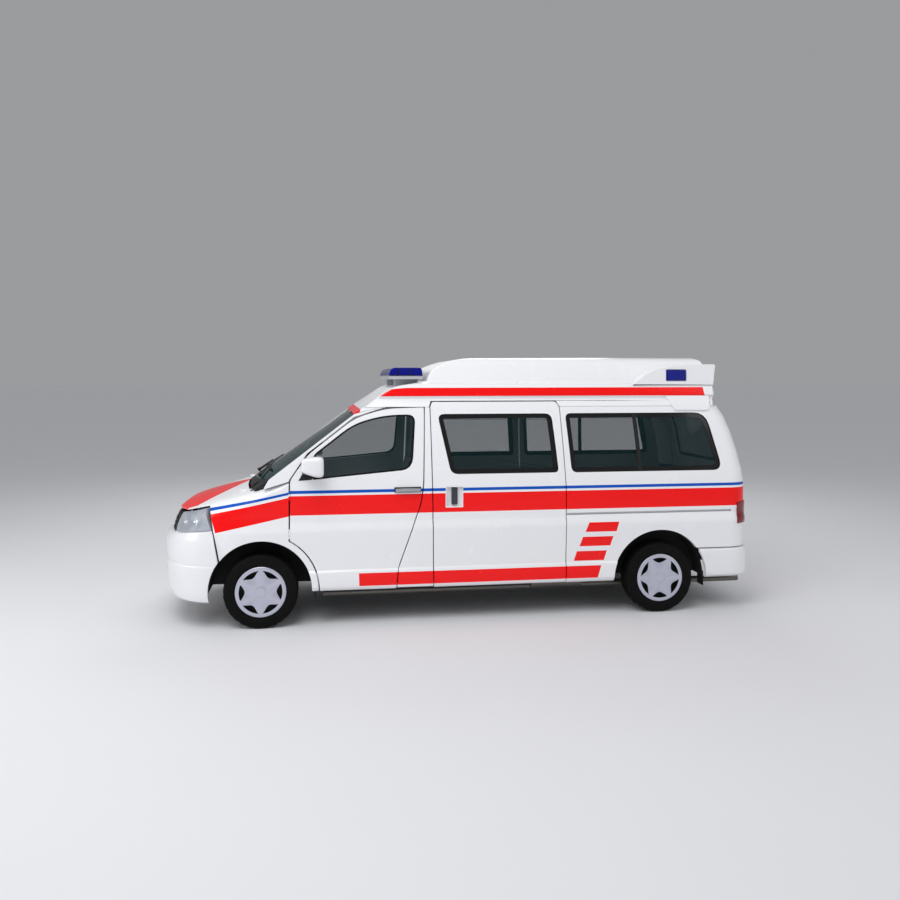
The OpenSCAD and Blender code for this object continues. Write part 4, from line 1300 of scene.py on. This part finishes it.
@dataclass
class Cabin:
    """Seats, bench, stretcher, dashboard and steering wheel."""

    seat_y: float = 380.0
    # Height of the stretcher's deck, above which the mattress takes the solid's place
    deck: float = 730.5

    def build(self) -> None:
        """Models the inside."""
        self.seats()
        self.stretcher()
        Plain("dashboard", "dash_grey", DASH, 8.0, name="dashboard_moulding", segments=3).build()
        self.dash_fittings()
        Plain("steering_wheel", "dash_grey", DASH, 3.0, "steering_wheel", "steering_wheel_rim").build()

    def pad(self, cushion: Cushion, nodes: Sequence[str] = ()) -> None:
        """Dresses a cushion."""
        piece = dress(cushion.build(), "body", "seat_fabric", cushion.finish, nodes=nodes)

    def seats(self) -> None:
        """Two front seats with head rests, and the attendants' bench."""
        for tag, side in SIDES:
            y = side * self.seat_y
            base = Cushion(f"seat_base_{tag}", (800, y - 236, 575), (1225, y + 236, 698),
                           channels=(-0.5, 0.5))
            back = Cushion(f"seat_back_{tag}", (1190, y - 232, 668), (1290, y + 232, 1262),
                           channels=(-0.45, 0.45), tilt=11.5)
            rest = Cushion(f"head_rest_{tag}", (1330, y - 126, 1275), (1398, y + 126, 1440),
                           crown=14.0, tilt=6.0, fill=0.9)
            self.pad(base, ["seats"])
            self.pad(back)
            self.pad(rest)
            low = SURVEY.at(830, y - 200, 452)
            plinth = slab(f"seat_plinth_{tag}", low, SURVEY.at(1230, y + 200, 578), 1)
            round_edges(plinth, 12.0, 3)
            dress(plinth, "body", "seat_fabric", PLINTH)
        box = slab("bench_box", SURVEY.at(1702, 345, 452), SURVEY.at(2898, 685, 775), 1)
        round_edges(box, 10.0, 3)
        dress(box, "body", "seat_fabric", PLINTH)
        self.pad(Cushion("bench_cushion", (1702, 338, 776), (2898, 688, 860), crown=16.0,
                         channels=(-0.34, 0.34)))

    def stretcher(self) -> None:
        """An aluminium carriage with a mattress and a raised back."""
        frame = copy_of("stretcher", "stretcher_carriage")
        with editing(frame):
            choose(frame, lambda face: face.calc_center_median().z > self.deck * MM)
            bpy.ops.mesh.delete(type="FACE")
            bpy.ops.mesh.select_all(action="SELECT")
            bpy.ops.mesh.fill_holes(sides=0)
        round_edges(frame, 3.0)
        dress(frame, "body", "stretcher_frame", ALUMINIUM, nodes=["stretcher"])
        self.pad(Cushion("mattress", (2640, -548, 732), (3855, -82, 800), crown=14.0,
                         channels=(-0.5, 0.0, 0.5), finish=MATTRESS))
        self.pad(Cushion("mattress_back", (1995, -548, 820), (2660, -82, 886), crown=14.0,
                         channels=(0.0,), tilt=19.0, finish=MATTRESS))

    def dash_fittings(self) -> None:
        """Vents, instrument hood and centre panel on the dashboard."""
        hood = slab("instrument_hood", SURVEY.at(250, -560, 1098), SURVEY.at(400, -200, 1150), 3)
        for vertex in hood.data.vertices:
            across = (vertex.co.y / MM + 380) / 180
            vertex.co.z -= 0.03 * across * across
        round_edges(hood, 10.0, 3)
        dress(hood, "body", "dash_grey", DASH)
        panel = slab("centre_panel", SURVEY.at(408, -110, 900), SURVEY.at(428, 110, 1010), 2)
        with editing(panel):
            choose(panel, lambda face: face.normal.x > 0.7)
            bpy.ops.mesh.inset(thickness=6 * MM, use_individual=True)
            bpy.ops.mesh.extrude_region_move(TRANSFORM_OT_translate={"value": (-3 * MM, 0, 0)})
        round_edges(panel, 1.5)
        dress(panel, "body", "dash_grey", TRIM)


@dataclass(frozen=True)
class Plain:
    """A node that is copied whole, with its edges rounded."""

    node: str
    slot: str
    finish: Finish
    round_mm: float = 2.5
    body: str = "body"
    name: str = ""
    segments: int = 2

    def build(self) -> None:
        """Copies the node, rounds its edges and dresses it."""
        piece = copy_of(self.node, self.name or "gear_" + self.node)
        round_edges(piece, self.round_mm, self.segments)
        dress(piece, self.body, self.slot, self.finish, nodes=[self.node])


@dataclass
class RunningGear:
    """Underbody, suspension, axle, engine, exhaust and the dark trim outside."""

    def parts(self) -> list[Plain]:
        """Lists the plain pieces with their finishes.

        Returns:
            The pieces in the order in which they are built.
        """
        parts = [
            Plain("underbody", "underbody_dark", UNDERSEAL, 3.0),
            Plain("front_suspension", "chassis_black", CHASSIS),
            Plain("rear_axle", "chassis_black", CHASSIS),
            Plain("exhaust", "steel", EXHAUST),
            Plain("fuel_tank", "tank_black", TANK, 5.0),
            Plain("engine", "cast_grey", CAST, 6.0),
            Plain("mud_flaps", "rubber_black", FLAP, 1.5),
            Plain("cowl", "trim_dark", TRIM),
            Plain("wipers", "trim_dark", SEAL, 1.0),
            Plain("grille", "trim_dark", TRIM, 2.0),
            Plain("sliding_door_handles", "trim_dark", SMOKED_CHROME, 5.0)]
        for name, _ in SIDES:
            parts.append(Plain(f"knuckle_{name}", "cast_grey", CAST, 3.0, f"knuckle_{name}"))
        return parts

    def build(self) -> None:
        """Models each plain piece."""
        for part in self.parts():
            part.build()


@dataclass
class Studio:
    """Floor, soft light and the camera at the photograph's place."""

    eye: tuple[float, float, float] = (475.0, -7904.0, 2020.0)
    yaw: float = 8.7
    focal_px: float = 850.0
    horizon_px: float = 380.0
    picture_px: float = 900.0
    sensor_mm: float = 36.0
    # The sky's strength on the surfaces, and how much less of it reflections and the camera see
    sky: float = 0.5
    sky_less_glossy: float = 0.24
    sky_less_camera: float = 0.138

    def build(self) -> None:
        """Sets the stage."""
        scene = bpy.context.scene
        scene.view_settings.view_transform = "Standard"
        self.floor()
        self.lights()
        lens = bpy.data.cameras.new("photo_lens")
        lens.sensor_width = self.sensor_mm
        lens.lens = self.focal_px / self.picture_px * self.sensor_mm
        lens.shift_y = (self.horizon_px - self.picture_px / 2) / self.picture_px
        camera = bpy.data.objects.new("photo_camera", lens)
        scene.collection.objects.link(camera)
        camera.location = SURVEY.at(*self.eye)
        camera.rotation_euler = (math.radians(90), 0, math.radians(-self.yaw))
        scene.camera = camera

    def floor(self) -> None:
        """A pale floor that keeps the shadow."""
        deselect()
        bpy.ops.mesh.primitive_plane_add(size=600)
        floor = named("floor")
        finish = Finish("floor_paper", "DEDFE2", 0.95, mottle=0.008, mottle_mm=900.0)
        floor.data.materials.append(finish.material())

    def lights(self) -> None:
        """A broad key, softer lights from the front, rear and far side, and an even world."""
        for name, place, size, power in (
                ("key", (-3.0, -5.2, 7.5), 5.0, 350.0), ("fill", (6.0, -4.0, 4.0), 5.0, 70.0),
                ("front", (-7.5, -2.0, 4.0), 4.0, 130.0), ("back", (1.0, 6.5, 6.0), 6.0, 170.0)):
            lamp = bpy.data.lights.new(name, "AREA")
            lamp.size = size
            lamp.energy = power
            light = bpy.data.objects.new(name, lamp)
            bpy.context.scene.collection.objects.link(light)
            light.location = place
            light.rotation_euler = (Vector((0, 0, 0.9)) - Vector(place)).to_track_quat("-Z", "Y").to_euler()
        world = bpy.data.worlds.new("studio")
        bpy.context.scene.world = world
        world.use_nodes = True
        tree = world.node_tree
        tree.nodes.clear()
        # Reflections see a dimmer sky than the surfaces are lit by, as between dark studio flags
        path = add(tree, "LightPath")
        glossy = add(tree, "Math", {
            0: path.outputs["Is Glossy Ray"], 1: -self.sky_less_glossy, 2: self.sky},
            operation="MULTIPLY_ADD")
        strength = add(tree, "Math", {
            0: path.outputs["Is Camera Ray"], 1: -self.sky_less_camera, 2: glossy.outputs[0]},
            operation="MULTIPLY_ADD")
        sky = add(tree, "Background", {"Color": linear("F4F5F7"), "Strength": strength.outputs[0]})
        add(tree, "OutputWorld", {"Surface": sky.outputs[0]})


def main() -> None:
    """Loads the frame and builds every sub-assembly."""
    logging.basicConfig(level=logging.INFO)
    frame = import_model()
    SURVEY.read(frame)
    assemblies = (Studio, Shell, Glazing, RoadWheels, Lamps, DoorFittings, Cabin, RunningGear)
    for assembly in assemblies:
        assembly().build()


if __name__ == "__main__":
    main()
